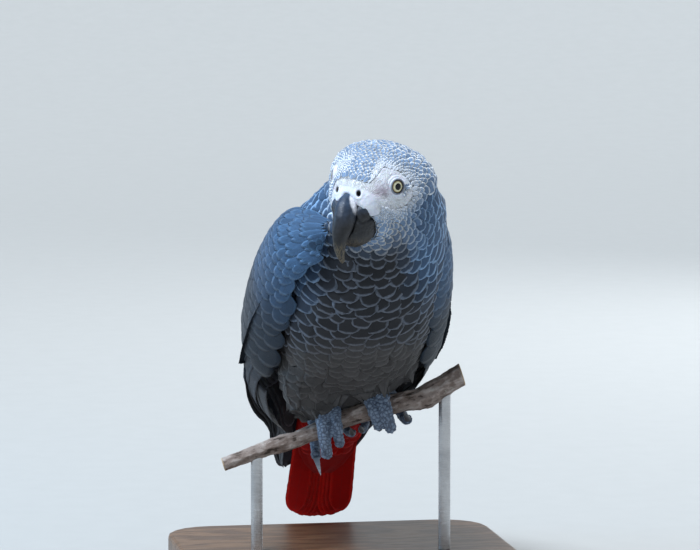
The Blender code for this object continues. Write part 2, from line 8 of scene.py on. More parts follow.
import bmesh
import bpy
import numpy as np
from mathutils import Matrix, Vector, noise
from mathutils.bvhtree import BVHTree
from mathutils.kdtree import KDTree

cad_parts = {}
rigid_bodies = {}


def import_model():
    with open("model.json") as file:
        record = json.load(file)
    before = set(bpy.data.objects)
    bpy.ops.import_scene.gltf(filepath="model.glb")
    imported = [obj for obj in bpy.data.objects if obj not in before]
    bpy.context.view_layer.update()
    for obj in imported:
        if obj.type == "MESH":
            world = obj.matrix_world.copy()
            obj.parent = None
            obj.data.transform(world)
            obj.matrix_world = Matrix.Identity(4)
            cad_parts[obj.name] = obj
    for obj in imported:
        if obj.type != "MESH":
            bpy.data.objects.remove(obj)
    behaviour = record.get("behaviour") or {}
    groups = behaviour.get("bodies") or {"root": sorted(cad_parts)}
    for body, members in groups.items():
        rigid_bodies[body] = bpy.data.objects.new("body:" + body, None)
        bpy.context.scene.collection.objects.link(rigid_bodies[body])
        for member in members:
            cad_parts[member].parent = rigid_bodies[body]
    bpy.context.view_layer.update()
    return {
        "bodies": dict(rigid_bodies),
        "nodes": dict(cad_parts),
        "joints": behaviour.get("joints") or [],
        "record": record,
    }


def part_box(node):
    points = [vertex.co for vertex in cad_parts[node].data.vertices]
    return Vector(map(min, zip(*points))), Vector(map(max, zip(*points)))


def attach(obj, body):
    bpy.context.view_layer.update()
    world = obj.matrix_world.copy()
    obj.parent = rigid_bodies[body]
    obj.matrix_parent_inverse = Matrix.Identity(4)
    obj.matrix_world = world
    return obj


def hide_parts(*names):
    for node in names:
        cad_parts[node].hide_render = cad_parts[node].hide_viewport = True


MM = 0.001
RNG = np.random.default_rng(31)

# ---------------------------------------------------------------- driving dimensions
HEAD_PITCH = math.radians(-5)
BILL_LEAN = -0.095            # how far the bill's middle plane leans sideways, per metre of height
BILL_LEAN_FROM = -30 * MM     # the height, from the eyes, at which it meets the head's middle plane
BILL_BEND = 1.3 * MM          # how far the plane also bows sideways, most at half its height
EYE_PLACE = (0.8 * MM, 0.4 * MM)  # the eyeballs' middle, ahead of and above the head's own middle
EYE_POLE = (0.87, 0.47, 0.11)  # the way the eye looks: out to its side, ahead, up
EYE_OPENING = 2.95 * MM
BILL_LOBE = np.array([7.8, 15.2, -10.4]) * MM   # lobe of the lower bill: off the bill's middle, ahead, up
BILL_LOBE_SIZE = np.array([2.3, 2.7, 3.9]) * MM
PERCH_MIDDLE = (0, -10 * MM, 80 * MM)
PERCH_SLOPE = math.radians(17.5)
PERCH_TURN = math.radians(7)
WING_FALL = math.radians(38.2)
WING_LEAN = math.radians(34)
BODY_RADIUS = 38 * MM
TAIL_FALL = math.radians(48.5)
TAIL_SWING = math.radians(3)

HEAD_COAT_END = 30 * MM       # how far from the bill the coat of the head reaches, and that of the neck
NECK_COAT_END = 62 * MM
FACE_TUFTS = 1500             # how many tufts of down are tried on each side of the face
CERE_TUFTS = 700
COVERTS = (-11 * MM, 72 * MM)         # where the rows of small feathers start and stop behind the bend
UNDER_COVERTS = (12 * MM, 54 * MM)
SECONDARIES, SECONDARY_ROOT = 10, 62 * MM
PRIMARIES, PRIMARY_ROOT = 9, 108 * MM
TAIL_FEATHERS = 12

BODY_VOXEL = 0.8 * MM
HORN_VOXEL = 0.3 * MM
CROWN_COAT = 0.9 * MM
NECK_COAT = 1.7 * MM
BODY_COAT = 3.2 * MM
WING_COAT = 2.5 * MM
RAGGED = 0.012                # how far a feather's rim wanders, as a share of its size
SHOULDER = 11 * MM            # the front of the wing sheet stays as wide as it is this far behind the bend

CAMERA_TURN = math.radians(-10)
CAMERA_RISE = math.radians(6)
CAMERA_REACH = 2.0
CAMERA_LENS = 206.0
CAMERA_SENSOR = 36.0
AIM_OVER_PERCH = 71.1 * MM
LAMP_AIM = Vector((0, 0, 0.16))   # the middle of the bird, more or less

# ---------------------------------------------------------------- colours (linear)
# The blue in these feather colours, strongest in NECK and WING and in the rims of CROWN, CHEEK and BREAST,
# is partly painted blue sky light; the bird's own grey is less blue.
CROWN = ((0.20, 0.30, 0.47), (0.95, 0.98, 1.0))
WHITE = ((0.72, 0.77, 0.86), (0.94, 0.96, 1.0))
CHEEK = ((0.40, 0.49, 0.63), (0.86, 0.91, 0.98))
NECK = ((0.050, 0.102, 0.195), (0.27, 0.47, 0.76))
# BREAST and BELLY are darker, and CROWN paler with darker centres against its rims, than the bird's own
# colours: partly painted shade on the front and underside, partly painted light on the head from above.
BREAST = ((0.018, 0.020, 0.025), (0.14, 0.165, 0.215))
BELLY = ((0.058, 0.056, 0.057), (0.090, 0.088, 0.090))
BACK = ((0.066, 0.082, 0.108), (0.105, 0.128, 0.162))
RUMP = ((0.20, 0.215, 0.24), (0.34, 0.355, 0.38))
WING = ((0.040, 0.074, 0.13), (0.075, 0.135, 0.225))
FLIGHT = ((0.026, 0.034, 0.048), (0.105, 0.135, 0.18))
PRIMARY = ((0.036, 0.042, 0.053), (0.13, 0.15, 0.18))
# These factors scale the wing's colours behind its bend: painted blue sky light near the bend, painted shade
# further back.
WING_PAINTED_LIGHT = ((1.10, 0.36, 0.31), (1.35, 0.36, 0.28), (1.50, 0.35, 0.25))  # red, green, blue along it
TAIL_RED = ((0.28, 0.002, 0.001), (0.42, 0.005, 0.002))


# ---------------------------------------------------------------- small helpers
def unit(v):
    v = np.asarray(v, float)
    return v / np.maximum(np.linalg.norm(v, axis=-1, keepdims=True), 1e-12)


def smooth_step(low, high, value):
    """0 before low and 1 past high, smooth between them; high may be the smaller one."""
    share = np.clip((value - low) / (high - low), 0, 1)
    return share * share * (3 - 2 * share)


def hill(value, middle, width):
    """1 at the middle, falling off smoothly on both sides."""
    return np.exp(-((value - middle) / width) ** 2)


def mixed(a, b, share):
    """a where the share is 0, b where it is 1; both may be colours."""
    share = np.asarray(share)[..., None]
    return np.asarray(a) * (1 - share) + np.asarray(b) * share


class Axes:
    """A place with three directions: turns world points into its own coordinates and back."""

    def __init__(self, origin, first, second, third):
        self.origin = np.asarray(origin, float)
        self.rows = np.array([first, second, third], float)

    def own(self, points):
        return (points - self.origin) @ self.rows.T

    def world(self, own):
        return self.origin + np.asarray(own) @ self.rows


class BentAxes(Axes):
    """The same with the second direction wrapped round the body, so that a wing can hug its flank."""

    def __init__(self, origin, first, second, third, radius):
        super().__init__(origin, first, second, third)
        self.radius = radius

    def own(self, points):
        a, c, h = super().own(points).T
        return np.stack([a, self.radius * np.arctan2(c, h), np.hypot(c, h) - self.radius], -1)

    def world(self, own):
        own = np.asarray(own, float)
        turn = own[..., 1] / self.radius
        reach = own[..., 2] + self.radius
        return super().world(np.stack([own[..., 0], reach * np.sin(turn), reach * np.cos(turn)], -1))


def box_middle(name):
    low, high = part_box(name)
    return (np.array(low) + np.array(high)) / 2


def head_axes():
    """(side, ahead, up) from the middle between the eyes."""
    left_eye = box_middle("eye_left")
    right_eye = box_middle("eye_right")
    left = unit(left_eye - right_eye)
    flat = unit(np.cross(left, (0, 0, 1)))
    level_up = np.cross(flat, left)
    ahead = flat * math.cos(HEAD_PITCH) + level_up * math.sin(HEAD_PITCH)
    up = np.cross(ahead, left)
    middle = (left_eye + right_eye) / 2 - ahead * EYE_PLACE[0] - up * EYE_PLACE[1]
    return Axes(middle, left, ahead, up)


def perch_axes():
    """(along, front, up) from the middle of the perch."""
    cs, ss = math.cos(PERCH_SLOPE), math.sin(PERCH_SLOPE)
    cr, sr = math.cos(PERCH_TURN), math.sin(PERCH_TURN)
    return Axes(PERCH_MIDDLE, (cs * cr, -cs * sr, ss), (-sr, -cr, 0), (-ss * cr, ss * sr, cs))


def wing_axes(side):
    """(back, round the body, out) from the bend of the wing; side is 1 on the bird's left."""
    name = "left" if side > 0 else "right"
    coverts = box_middle(f"wing_{name}_coverts")
    back = unit(box_middle(f"wing_{name}_primaries") - coverts)
    dorsal = np.array([0, math.sin(WING_FALL), math.cos(WING_FALL)])
    out = np.array([side * math.cos(WING_LEAN), 0, 0]) + dorsal * math.sin(WING_LEAN)
    out = unit(out - back * (out @ back))
    low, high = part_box(f"wing_{name}_coverts")
    bend = np.array([0, low[1], high[2]])
    core = coverts - out * BODY_RADIUS
    core += back * ((bend - core) @ back)
    return BentAxes(core, back, -side * np.cross(back, out), out, BODY_RADIUS)


def tail_axes():
    """(along, side, top) from the middle of the tail's root."""
    low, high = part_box("tail")
    cf, sf = math.cos(TAIL_FALL), math.sin(TAIL_FALL)
    along = np.array([cf * math.sin(TAIL_SWING), cf * math.cos(TAIL_SWING), -sf])
    side = np.array([math.cos(TAIL_SWING), -math.sin(TAIL_SWING), 0])
    return Axes(((low[0] + high[0]) / 2, low[1], high[2]), along, side, np.cross(along, side) * -1)


# ---------------------------------------------------------------- mesh helpers
def read(items, field, width=3, kind=float):
    """One field of all vertices, edges, corners or faces of a mesh as a table."""
    flat = np.empty(len(items) * width, kind)
    items.foreach_get(field, flat)
    return flat.reshape(-1, width)


def points_of(obj):
    return read(obj.data.vertices, "co")


def set_points(obj, points):
    obj.data.vertices.foreach_set("co", np.asarray(points, float).ravel())
    obj.data.update()


def normals_of(obj):
    return read(obj.data.vertices, "normal")


def edges_of(obj):
    return read(obj.data.edges, "vertices", 2, int)


def triangles_of(obj):
    obj.data.calc_loop_triangles()
    return read(obj.data.loop_triangles, "vertices", 3, int)


def tree_of(objects):
    """Search tree over the faces of all the objects together, in their order."""
    points, faces = [], []
    for obj in objects:
        start = len(points)
        points += [v.co.copy() for v in obj.data.vertices]
        faces += [[start + i for i in face.vertices] for face in obj.data.polygons]
    return BVHTree.FromPolygons(points, faces)


def neighbour_mean(values, edges, rounds=1):
    """Mean of each vertex's neighbours, for a list of numbers or of vectors, as often as asked."""
    first, second = edges.T
    count = len(values)
    ties = np.maximum(np.bincount(edges.ravel(), minlength=count), 1)
    table = values.reshape(count, -1).copy()
    for _ in range(rounds):
        for column in range(table.shape[1]):
            one = table[:, column].copy()
            total = np.bincount(first, one[second], count) + np.bincount(second, one[first], count)
            table[:, column] = total / ties
    return table.reshape(values.shape)


def relax(obj, rounds, amount=0.5, back=-0.53):
    """Smooths a mesh without shrinking it: each round a step in and a step back out."""
    edges = edges_of(obj)
    points = points_of(obj)
    for _ in range(rounds):
        for step in (amount, back):
            points = points + step * (neighbour_mean(points, edges) - points)
    set_points(obj, points)


def placed(name, data):
    """A new object in the scene that shows the mesh, lamp or camera."""
    obj = bpy.data.objects.new(name, data)
    bpy.context.scene.collection.objects.link(obj)
    return obj


def object_of(name, shape):
    """A new object with the faces of a bmesh, which is freed."""
    mesh = bpy.data.meshes.new(name)
    shape.to_mesh(mesh)
    shape.free()
    return placed(name, mesh)


def joined_copy(name, nodes, grow):
    """One mesh object with the shapes of the nodes, each pushed outwards by grow."""
    whole = bmesh.new()
    for node in nodes:
        part = bmesh.new()
        part.from_mesh(node.data)
        bmesh.ops.remove_doubles(part, verts=part.verts, dist=1e-6)
        bmesh.ops.recalc_face_normals(part, faces=part.faces)
        part.normal_update()
        moves = [v.normal * grow for v in part.verts]
        for vert, move in zip(part.verts, moves):
            vert.co += move
        mesh = bpy.data.meshes.new("part")
        part.to_mesh(mesh)
        part.free()
        whole.from_mesh(mesh)
        bpy.data.meshes.remove(mesh)
    return object_of(name, whole)


def remeshed(obj, voxel):
    """Turns the mesh into one even closed surface."""
    modifier = obj.modifiers.new("even", "REMESH")
    modifier.mode = "VOXEL"
    modifier.voxel_size = voxel
    bpy.context.view_layer.update()
    shape = bpy.data.meshes.new_from_object(obj.evaluated_get(bpy.context.evaluated_depsgraph_get()))
    obj.modifiers.clear()
    old = obj.data
    obj.data = shape
    bpy.data.meshes.remove(old)


def refined(obj, chosen):
    """Splits the faces whose corners are all chosen (one flag per vertex)."""
    mesh = bmesh.new()
    mesh.from_mesh(obj.data)
    mesh.verts.ensure_lookup_table()
    faces = [f for f in mesh.faces if all(chosen[v.index] for v in f.verts)]
    edges = list({e for f in faces for e in f.edges})
    bmesh.ops.subdivide_edges(mesh, edges=edges, cuts=1, use_grid_fill=True, smooth=0)
    mesh.to_mesh(obj.data)
    mesh.free()
    obj.data.update()


def shade_smooth(obj):
    obj.data.polygons.foreach_set("use_smooth", np.ones(len(obj.data.polygons), bool))


def give_numbers(obj, **tables):
    for name, values in tables.items():
        layer = obj.data.attributes.new(name, "FLOAT", "POINT")
        layer.data.foreach_set("value", np.asarray(values, np.float32).ravel())


def give_vectors(obj, name, values):
    layer = obj.data.attributes.new(name, "FLOAT_VECTOR", "POINT")
    layer.data.foreach_set("vector", np.asarray(values, np.float32).ravel())


def give_colours(obj, name, values):
    full = np.ones((len(values), 4), np.float32)
    full[:, :3] = values
    layer = obj.data.color_attributes.new(name, "FLOAT_COLOR", "POINT")
    layer.data.foreach_set("color", full.ravel())


# ---------------------------------------------------------------- material helpers
class Look:
    """A procedural material, built node by node."""

    def __init__(self, name):
        self.material = bpy.data.materials.new(name)
        self.material.use_nodes = True
        self.tree = self.material.node_tree
        self.shader = self.tree.nodes["Principled BSDF"]

    def put(self, value, socket):
        if isinstance(value, bpy.types.NodeSocket):
            self.tree.links.new(value, socket)
        else:
            socket.default_value = value

    def node(self, kind, inputs, output, **settings):
        """Adds a node, fills its inputs with numbers or with other nodes' outputs, gives one output back."""
        made = self.tree.nodes.new("ShaderNode" + kind)
        for key, value in settings.items():
            setattr(made, key, value)
        for key, value in inputs.items():
            self.put(value, made.inputs[key])
        return made.outputs[output]

    def value(self, name, output="Fac"):
        return self.node("Attribute", {}, output, attribute_name=name)

    def place(self):
        return self.node("TexCoord", {}, "Object")

    def scaled(self, vector, scale):
        return self.node("VectorMath", {0: vector, 1: scale}, 0, operation="MULTIPLY")

    def noise(self, vector, scale, detail=3.0, rough=0.55):
        inputs = {"Vector": vector, "Scale": scale, "Detail": detail, "Roughness": rough}
        return self.node("TexNoise", inputs, "Fac")

    def math(self, operation, first, second=0.0, third=0.0):
        return self.node("Math", {0: first, 1: second, 2: third}, 0, operation=operation)

    def ranged(self, value, low, high, start=0.0, end=1.0):
        inputs = {"Value": value, "From Min": low, "From Max": high, "To Min": start, "To Max": end}
        return self.node("MapRange", inputs, "Result", interpolation_type="SMOOTHSTEP")

    def mix(self, share, first, second, blend="MIX"):
        inputs = {"Factor": share, 6: self.opaque(first), 7: self.opaque(second)}
        return self.node("Mix", inputs, 2, data_type="RGBA", blend_type=blend)

    def opaque(self, colour):
        return colour if isinstance(colour, bpy.types.NodeSocket) else (*colour, 1.0)

    def bump(self, height, strength, distance):
        return self.node("Bump", {"Strength": strength, "Distance": distance, "Height": height}, "Normal")

    def finish(self, colour, roughness, normal=None, **fixed):
        self.put(self.opaque(colour), self.shader.inputs["Base Color"])
        self.put(roughness, self.shader.inputs["Roughness"])
        if normal is not None:
            self.put(normal, self.shader.inputs["Normal"])
        for key, value in fixed.items():
            self.shader.inputs[key.replace("_", " ")].default_value = value
        return self.material


def feather_look(name, sheen, shine):
    """Vane with a pale rim, barbs that run out and forward from the shaft, and fine wear."""
    look = Look(name)
    margin = look.value("margin")
    vane = look.value("vane", "Vector")
    across = look.node("SeparateXYZ", {0: vane}, 1)
    barbs = look.noise(look.scaled(vane, (1.0, 0.16, 1.0)), 2.2, 2.0, 0.5)
    patches = look.noise(look.place(), 420.0, 3.0)
    ragged = look.math("MULTIPLY_ADD", look.math("SUBTRACT", patches, 0.5), 1.1, margin)
    rim = look.ranged(ragged, 1.25, 0.35)
    colour = look.mix(rim, look.value("centre", "Color"), look.value("rim", "Color"))
    streaks = look.ranged(barbs, 0.25, 0.75, 0.80, 1.16)
    shade = look.node("CombineColor", {0: streaks, 1: streaks, 2: streaks}, 0)
    colour = look.mix(1.0, colour, shade, "MULTIPLY")
    shaft = look.ranged(look.math("ABSOLUTE", across), 0.0, 0.22, 0.55, 0.0)
    colour = look.mix(shaft, colour, look.mix(0.55, colour, (0.02, 0.022, 0.028)))
    normal = look.bump(barbs, 0.5, 0.0002)
    return look.finish(colour, look.ranged(barbs, 0.2, 0.8, 0.50, 0.72), normal,
                       Sheen_Weight=sheen, Sheen_Roughness=0.5, Specular_IOR_Level=shine)


def bed_look(name, shadow):
    """The skin under the coat: the same markings, dull and downy, mixed towards a dark colour as painted
    shade between the feathers.
    """
    look = Look(name)
    down = look.noise(look.place(), 900.0, 4.0)
    colour = look.mix(look.ranged(down, 0.3, 0.7, 0.0, 0.5), look.value("marking", "Color"), shadow)
    return look.finish(colour, 0.9, look.bump(down, 0.7, 0.0004), Specular_IOR_Level=0.15)


def face_look():
    """Bare face skin: chalk white, pinkish before the eye, grey-blue on the lids, the nostril pits painted
    nearly black as painted shade.
    """
    look = Look("bare_face")
    fine = look.noise(look.place(), 1500.0, 4.0, 0.6)
    blotch = look.noise(look.place(), 260.0, 3.0)
    # the skin's faint blue tint is partly painted blue sky light
    colour = look.mix(look.ranged(blotch, 0.3, 0.75), (0.84, 0.88, 0.97), (0.70, 0.74, 0.86))
    colour = look.mix(look.value("flush"), colour, (0.46, 0.38, 0.46))
    lid = look.value("lid")
    colour = look.mix(look.ranged(lid, 0.0, 1.0), colour, (0.24, 0.27, 0.34))
    colour = look.mix(look.ranged(lid, 1.2, 1.8), colour, (0.02, 0.022, 0.03))
    # nostril pits painted nearly black: painted shade inside them
    colour = look.mix(look.value("pit"), colour, (0.012, 0.011, 0.012))
    colour = look.mix(look.ranged(fine, 0.35, 0.6, 0.16, 0.0), colour, (0.40, 0.40, 0.48))
    normal = look.bump(fine, 0.3, 0.00015)
    return look.finish(colour, 0.6, normal, Subsurface_Weight=0.08, Subsurface_Scale=0.001,
                       Specular_IOR_Level=0.3)


def foot_look():
    """Scaly toes: blue-grey scales with pale tops, partly painted highlight, and dark joints."""
    look = Look("scaly_foot")
    groove = look.value("groove")
    fine = look.noise(look.place(), 1900.0, 3.0)
    blotch = look.noise(look.place(), 300.0, 3.0)
    colour = look.mix(look.ranged(blotch, 0.3, 0.7), (0.085, 0.125, 0.20), (0.15, 0.205, 0.30))
    # pale scale tops: partly the scales' own colour, partly painted highlight
    colour = look.mix(look.ranged(groove, 0.15, 0.0, 0.0, 0.3), colour, (0.34, 0.43, 0.55))
    colour = look.mix(look.ranged(groove, 0.2, 1.0, 0.0, 0.8), colour, (0.06, 0.08, 0.12))
    colour = look.mix(look.ranged(fine, 0.5, 0.8, 0.0, 0.35), colour, (0.42, 0.47, 0.56))
    return look.finish(colour, look.ranged(fine, 0.3, 0.7, 0.42, 0.6), look.bump(fine, 0.4, 0.0002),
                       Specular_IOR_Level=0.45)


def bill_look():
    """Black horn with a blue-grey bloom near the base, a painted highlight on the tops of the lower bill's
    lobes, growth lines and a worn brownish tip.
    """
    look = Look("bill_horn")
    growth = look.value("growth")
    fine = look.noise(look.scaled(look.place(), (1.0, 1.0, 0.35)), 1300.0, 4.0, 0.6)
    blotch = look.noise(look.place(), 330.0, 4.0)
    colour = look.mix(look.ranged(blotch, 0.3, 0.7), (0.010, 0.011, 0.013), (0.024, 0.026, 0.032))
    # the bloom also carries the painted highlight on the lobes of the lower bill
    bloom = look.math("MULTIPLY", look.value("bloom"), look.ranged(blotch, 0.2, 0.75, 0.45, 1.0))
    colour = look.mix(bloom, colour, (0.045, 0.085, 0.16))
    worn = look.math("MULTIPLY", look.value("worn"), look.ranged(fine, 0.40, 0.60))
    colour = look.mix(worn, colour, (0.14, 0.115, 0.075))
    scuffs = look.ranged(fine, 0.62, 0.74, 0.0, 0.3)
    colour = look.mix(scuffs, colour, (0.12, 0.125, 0.135))
    colour = look.mix(look.value("cere"), colour, look.mix(blotch, (0.86, 0.87, 0.92), (0.76, 0.77, 0.84)))
    waves = look.math("SINE", look.math("MULTIPLY", growth, 2.6))
    height = look.math("MULTIPLY_ADD", waves, 0.25, fine)
    return look.finish(colour, look.ranged(fine, 0.3, 0.7, 0.36, 0.56), look.bump(height, 0.35, 0.0002),
                       Specular_IOR_Level=0.38)


def claw_look(name, dark, light):
    """Curved horn, darker at its base and paler in bands towards the tip."""
    look = Look(name)
    reach = look.value("reach")
    fine = look.noise(look.place(), 1400.0, 3.0)
    bands = look.math("SINE", look.math("MULTIPLY_ADD", reach, 30.0, look.math("MULTIPLY", fine, 3.0)))
    colour = look.mix(look.ranged(reach, 0.1, 0.9), dark, light)
    colour = look.mix(look.ranged(bands, 0.0, 1.0, 0.0, 0.45), colour, dark)
    return look.finish(colour, look.ranged(fine, 0.3, 0.7, 0.28, 0.45), look.bump(fine, 0.25, 0.00015))


def eye_look():
    """Pale yellow iris with fine spokes between a dark pupil and a dark outer ring."""
    look = Look("eye")
    ring = look.value("ring")
    spokes = look.noise(look.value("spoke", "Vector"), 1.0, 2.0)
    iris = look.mix(look.ranged(spokes, 0.3, 0.7), (0.70, 0.66, 0.40), (0.90, 0.88, 0.66))
    iris = look.mix(look.ranged(ring, 0.80, 0.98), iris, (0.42, 0.30, 0.10))
    colour = look.mix(look.ranged(ring, 0.57, 0.61), (0.003, 0.004, 0.007), iris)
    colour = look.mix(look.ranged(ring, 0.98, 1.04), colour, (0.015, 0.014, 0.014))
    return look.finish(colour, 0.16, look.bump(spokes, 0.05, 0.0001), Specular_IOR_Level=0.15,
                       Coat_Weight=0.3, Coat_Roughness=0.02)


def bark_look():
    """Grey-brown bark: pale ridges, dark cracks, a little lichen; bare wood at the cut ends."""
    look = Look("bark")
    relief = look.value("relief")
    fine = look.noise(look.place(), 1100.0, 5.0, 0.65)
    broad = look.noise(look.place(), 130.0, 4.0)
    colour = look.mix(look.ranged(broad, 0.3, 0.7), (0.19, 0.145, 0.125), (0.32, 0.265, 0.24))
    colour = look.mix(look.ranged(relief, 0.45, 0.9), colour, (0.44, 0.385, 0.36))
    colour = look.mix(look.ranged(relief, 0.34, 0.08), colour, (0.06, 0.044, 0.036))
    colour = look.mix(look.ranged(fine, 0.56, 0.70, 0.0, 0.6), colour, (0.10, 0.075, 0.06))
    lichen = look.noise(look.place(), 210.0, 5.0, 0.7)
    colour = look.mix(look.ranged(lichen, 0.62, 0.70, 0.0, 0.55), colour, (0.36, 0.38, 0.34))
    rings = look.math("SINE", look.math("MULTIPLY", look.value("radius"), 7000.0))
    wood = look.mix(look.ranged(rings, -0.6, 0.9), (0.46, 0.33, 0.20), (0.60, 0.46, 0.30))
    colour = look.mix(look.value("cut"), colour, wood)
    return look.finish(colour, look.ranged(fine, 0.3, 0.7, 0.75, 0.92), look.bump(fine, 0.6, 0.0005),
                       Specular_IOR_Level=0.25)


def wood_look():
    """Oiled walnut for the base: long grain, pores, a soft satin."""
    look = Look("base_wood")
    spot = look.place()
    warp = look.noise(look.scaled(spot, (6.0, 26.0, 26.0)), 1.0, 3.0)
    rings = look.math("SINE", look.math("MULTIPLY", warp, 62.0))
    pores = look.noise(look.scaled(spot, (90.0, 1500.0, 1500.0)), 1.0, 3.0, 0.6)
    colour = look.mix(look.ranged(rings, -0.8, 0.9), (0.095, 0.047, 0.024), (0.17, 0.09, 0.046))
    colour = look.mix(look.ranged(pores, 0.55, 0.68, 0.0, 0.6), colour, (0.035, 0.018, 0.010))
    return look.finish(colour, look.ranged(pores, 0.3, 0.7, 0.34, 0.5), look.bump(pores, 0.25, 0.0002),
                       Coat_Weight=0.15, Coat_Roughness=0.3)


def steel_look():
    """Brushed steel with fine rings of turning and faint smudges."""
    look = Look("brushed_steel")
    spot = look.place()
    rings = look.noise(look.scaled(spot, (60.0, 60.0, 5200.0)), 1.0, 2.0)
    smudge = look.noise(spot, 90.0, 3.0)
    colour = look.mix(look.ranged(smudge, 0.35, 0.7), (0.55, 0.55, 0.56), (0.44, 0.44, 0.45))
    return look.finish(colour, look.ranged(rings, 0.3, 0.7, 0.24, 0.42), look.bump(rings, 0.2, 0.0001),
                       Metallic=1.0)


# ---------------------------------------------------------------- regions of the bird
class Regions:
    """Says for any point how far along the bird it lies and which part it belongs to."""

    def __init__(self, frame):
        self.nodes = frame["nodes"]
        self.head = head_axes()
        self.perch = perch_axes()
        self.skin_names = [n for n in self.nodes if n.startswith(("toe_", "foot_", "shank_"))]
        self.body_names = ["head", "neck", "trunk", "thigh_left", "thigh_right"]
        self.wing_names = ["wing_left_coverts", "wing_right_coverts"]
        self.names = self.skin_names + self.body_names + self.wing_names
        self.owner = [name for name in self.names for _ in self.nodes[name].data.polygons]
        self.tree = tree_of([self.nodes[name] for name in self.names])

    def owners(self, points):
        return np.array([self.owner[self.tree.find_nearest(Vector(p))[2]] for p in points])

    def bill_middle(self, up):
        """Sideways place of the bill's middle plane at a height, both from the eyes."""
        return BILL_LEAN * (up - BILL_LEAN_FROM) + BILL_BEND * hill(up, -14.25 * MM, 10 * MM)

    def bare(self, points):
        """1 on the bare face and cere, 0 under feathers."""
        side, ahead, up = self.head.own(points).T / MM
        brow = np.where(side > 0, 16.0, 11.0)
        patch = smooth_step(1.04, 0.96, near_face(points, self))
        patch *= smooth_step(brow + 0.5, brow - 0.7, up + ahead)
        roof = 3.4 - 0.02 * np.abs(side + 2.0) ** 2
        strip = (ahead > 11.5) * smooth_step(roof + 0.6, roof - 0.6, up) * smooth_step(-13.5, -11.5, up)
        return np.maximum(patch, strip)


# ---------------------------------------------------------------- skin
def eye_directions(regions):
    """World centre and pole of each eye."""
    result = []
    for side, name in ((1, "eye_left"), (-1, "eye_right")):
        low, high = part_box(name)
        pole = unit(np.array(EYE_POLE) * (side, 1, 1)) @ regions.head.rows
        result.append((box_middle(name), pole, (high[2] - low[2]) / 2))
    return result


def set_eyelids(points, regions):
    """Draws the skin over each eyeball, leaves a round opening and rolls its rim outward.
    Moves the points in place and gives the lids back: 1 on a lid, 2 on its dark inner line."""
    lid = np.zeros(len(points))
    for centre, pole, radius in eye_directions(regions):
        away = points - centre
        reach = np.linalg.norm(away, axis=1)
        near = np.flatnonzero(reach < radius + 5 * MM)
        direction = away[near] / reach[near][:, None]
        angle = np.arccos(np.clip(direction @ pole, -1, 1))
        past = np.degrees(angle - math.asin(EYE_OPENING / (radius + 0.4 * MM)))
        rim = 0.32 * MM * hill(past, 5.5, 3.2)
        crease = 0.22 * MM * hill(past, 13.0, 2.4)
        fold = 0.14 * MM * hill(past, 19.5, 3.0) - 0.12 * MM * hill(past, 25, 2.2)
        drawn = radius + 0.55 * MM + rim - crease + fold
        edge = smooth_step(0.0, 3.0, past)
        target = (radius - 0.7 * MM) * (1 - edge) + drawn * edge
        hold = smooth_step(50.0, 24.0, past) * (direction @ pole > 0)
        fresh = reach[near] * (1 - hold) + np.maximum(target, reach[near] * (past > 6)) * hold
        fresh = np.where(past <= 6, target, fresh)
        points[near] = centre + direction * fresh[:, None]
        lid[near] = np.maximum(lid[near], smooth_step(11.0, 7.0, past) + smooth_step(3.8, 2.0, past))
    return lid


def face_forms(points, normals, regions):
    """Wrinkles round the eye, the groove before it, the swollen cere and its two nostrils.
    Gives the moved points, the flushed places and the nostril pits, which are painted dark as painted shade."""
    side, ahead, up = regions.head.own(points).T / MM
    move = np.zeros(len(points))
    bare = regions.bare(points)
    for centre, pole, radius in eye_directions(regions):
        away = np.linalg.norm(points - (centre + pole * radius), axis=1) / MM
        rings = np.sin(away * 4.6)
        move += 0.045 * rings * smooth_step(3.6, 5.0, away) * smooth_step(9.5, 6.0, away) * bare
    crumbs = np.array([noise.fractal(Vector(p) * 900, 0.8, 2.0, 3) for p in points])
    move += 0.075 * crumbs * bare
    groove = hill(up + 0.35 * (14 - ahead), -1.5, 1.7) * smooth_step(7.5, 10, ahead)
    groove *= smooth_step(15.5, 13.0, ahead) * (np.abs(side) > 6)
    move -= 0.45 * groove * bare
    soft = hill(ahead, 10.5, 3.4) * hill(up, -0.5, 3.0) * (np.abs(side) > 6)
    flush = np.clip(0.6 * groove + 0.75 * soft, 0, 0.85) * bare
    middle = regions.bill_middle(up * MM) / MM
    cere = smooth_step(11.5, 14.5, ahead) * smooth_step(-17, -12, up) * smooth_step(4.5, 1.5, up)
    move += 0.55 * cere
    pit = np.zeros(len(points))
    for sign in (-1, 1):
        across = side - (middle + sign * 6.1)
        away = np.sqrt((across / 0.78) ** 2 + ((up + 2.3) / 0.98) ** 2) + 3.0 * (ahead < 9)
        move += 0.35 * hill(away, 2.2, 0.8)
        move -= 2.0 * smooth_step(1.6, 0.5, away)
        pit = np.maximum(pit, smooth_step(1.7, 1.15, away))
    return points + normals * (move * MM)[:, None], flush, pit


def toe_forms(points, normals, regions, scaly):
    """Rows of scales round each toe, cut as narrow grooves."""
    chosen = np.flatnonzero(scaly > 0.05)
    along, front, up = regions.perch.own(points[chosen]).T / MM
    spots = np.stack([along / 2.0, np.arctan2(up, front) * 7.5, np.hypot(up, front) / 2.2], 1)
    near = np.array([noise.voronoi(Vector(spot))[0][:2] for spot in spots])
    cells = near[:, 1] - near[:, 0]
    groove, swell = np.zeros((2, len(points)))
    groove[chosen] = smooth_step(0.24, 0.03, cells) * scaly[chosen]
    swell[chosen] = 0.16 * smooth_step(0.1, 0.7, cells) * scaly[chosen]
    return points + normals * ((swell - 0.32 * groove) * MM)[:, None], groove


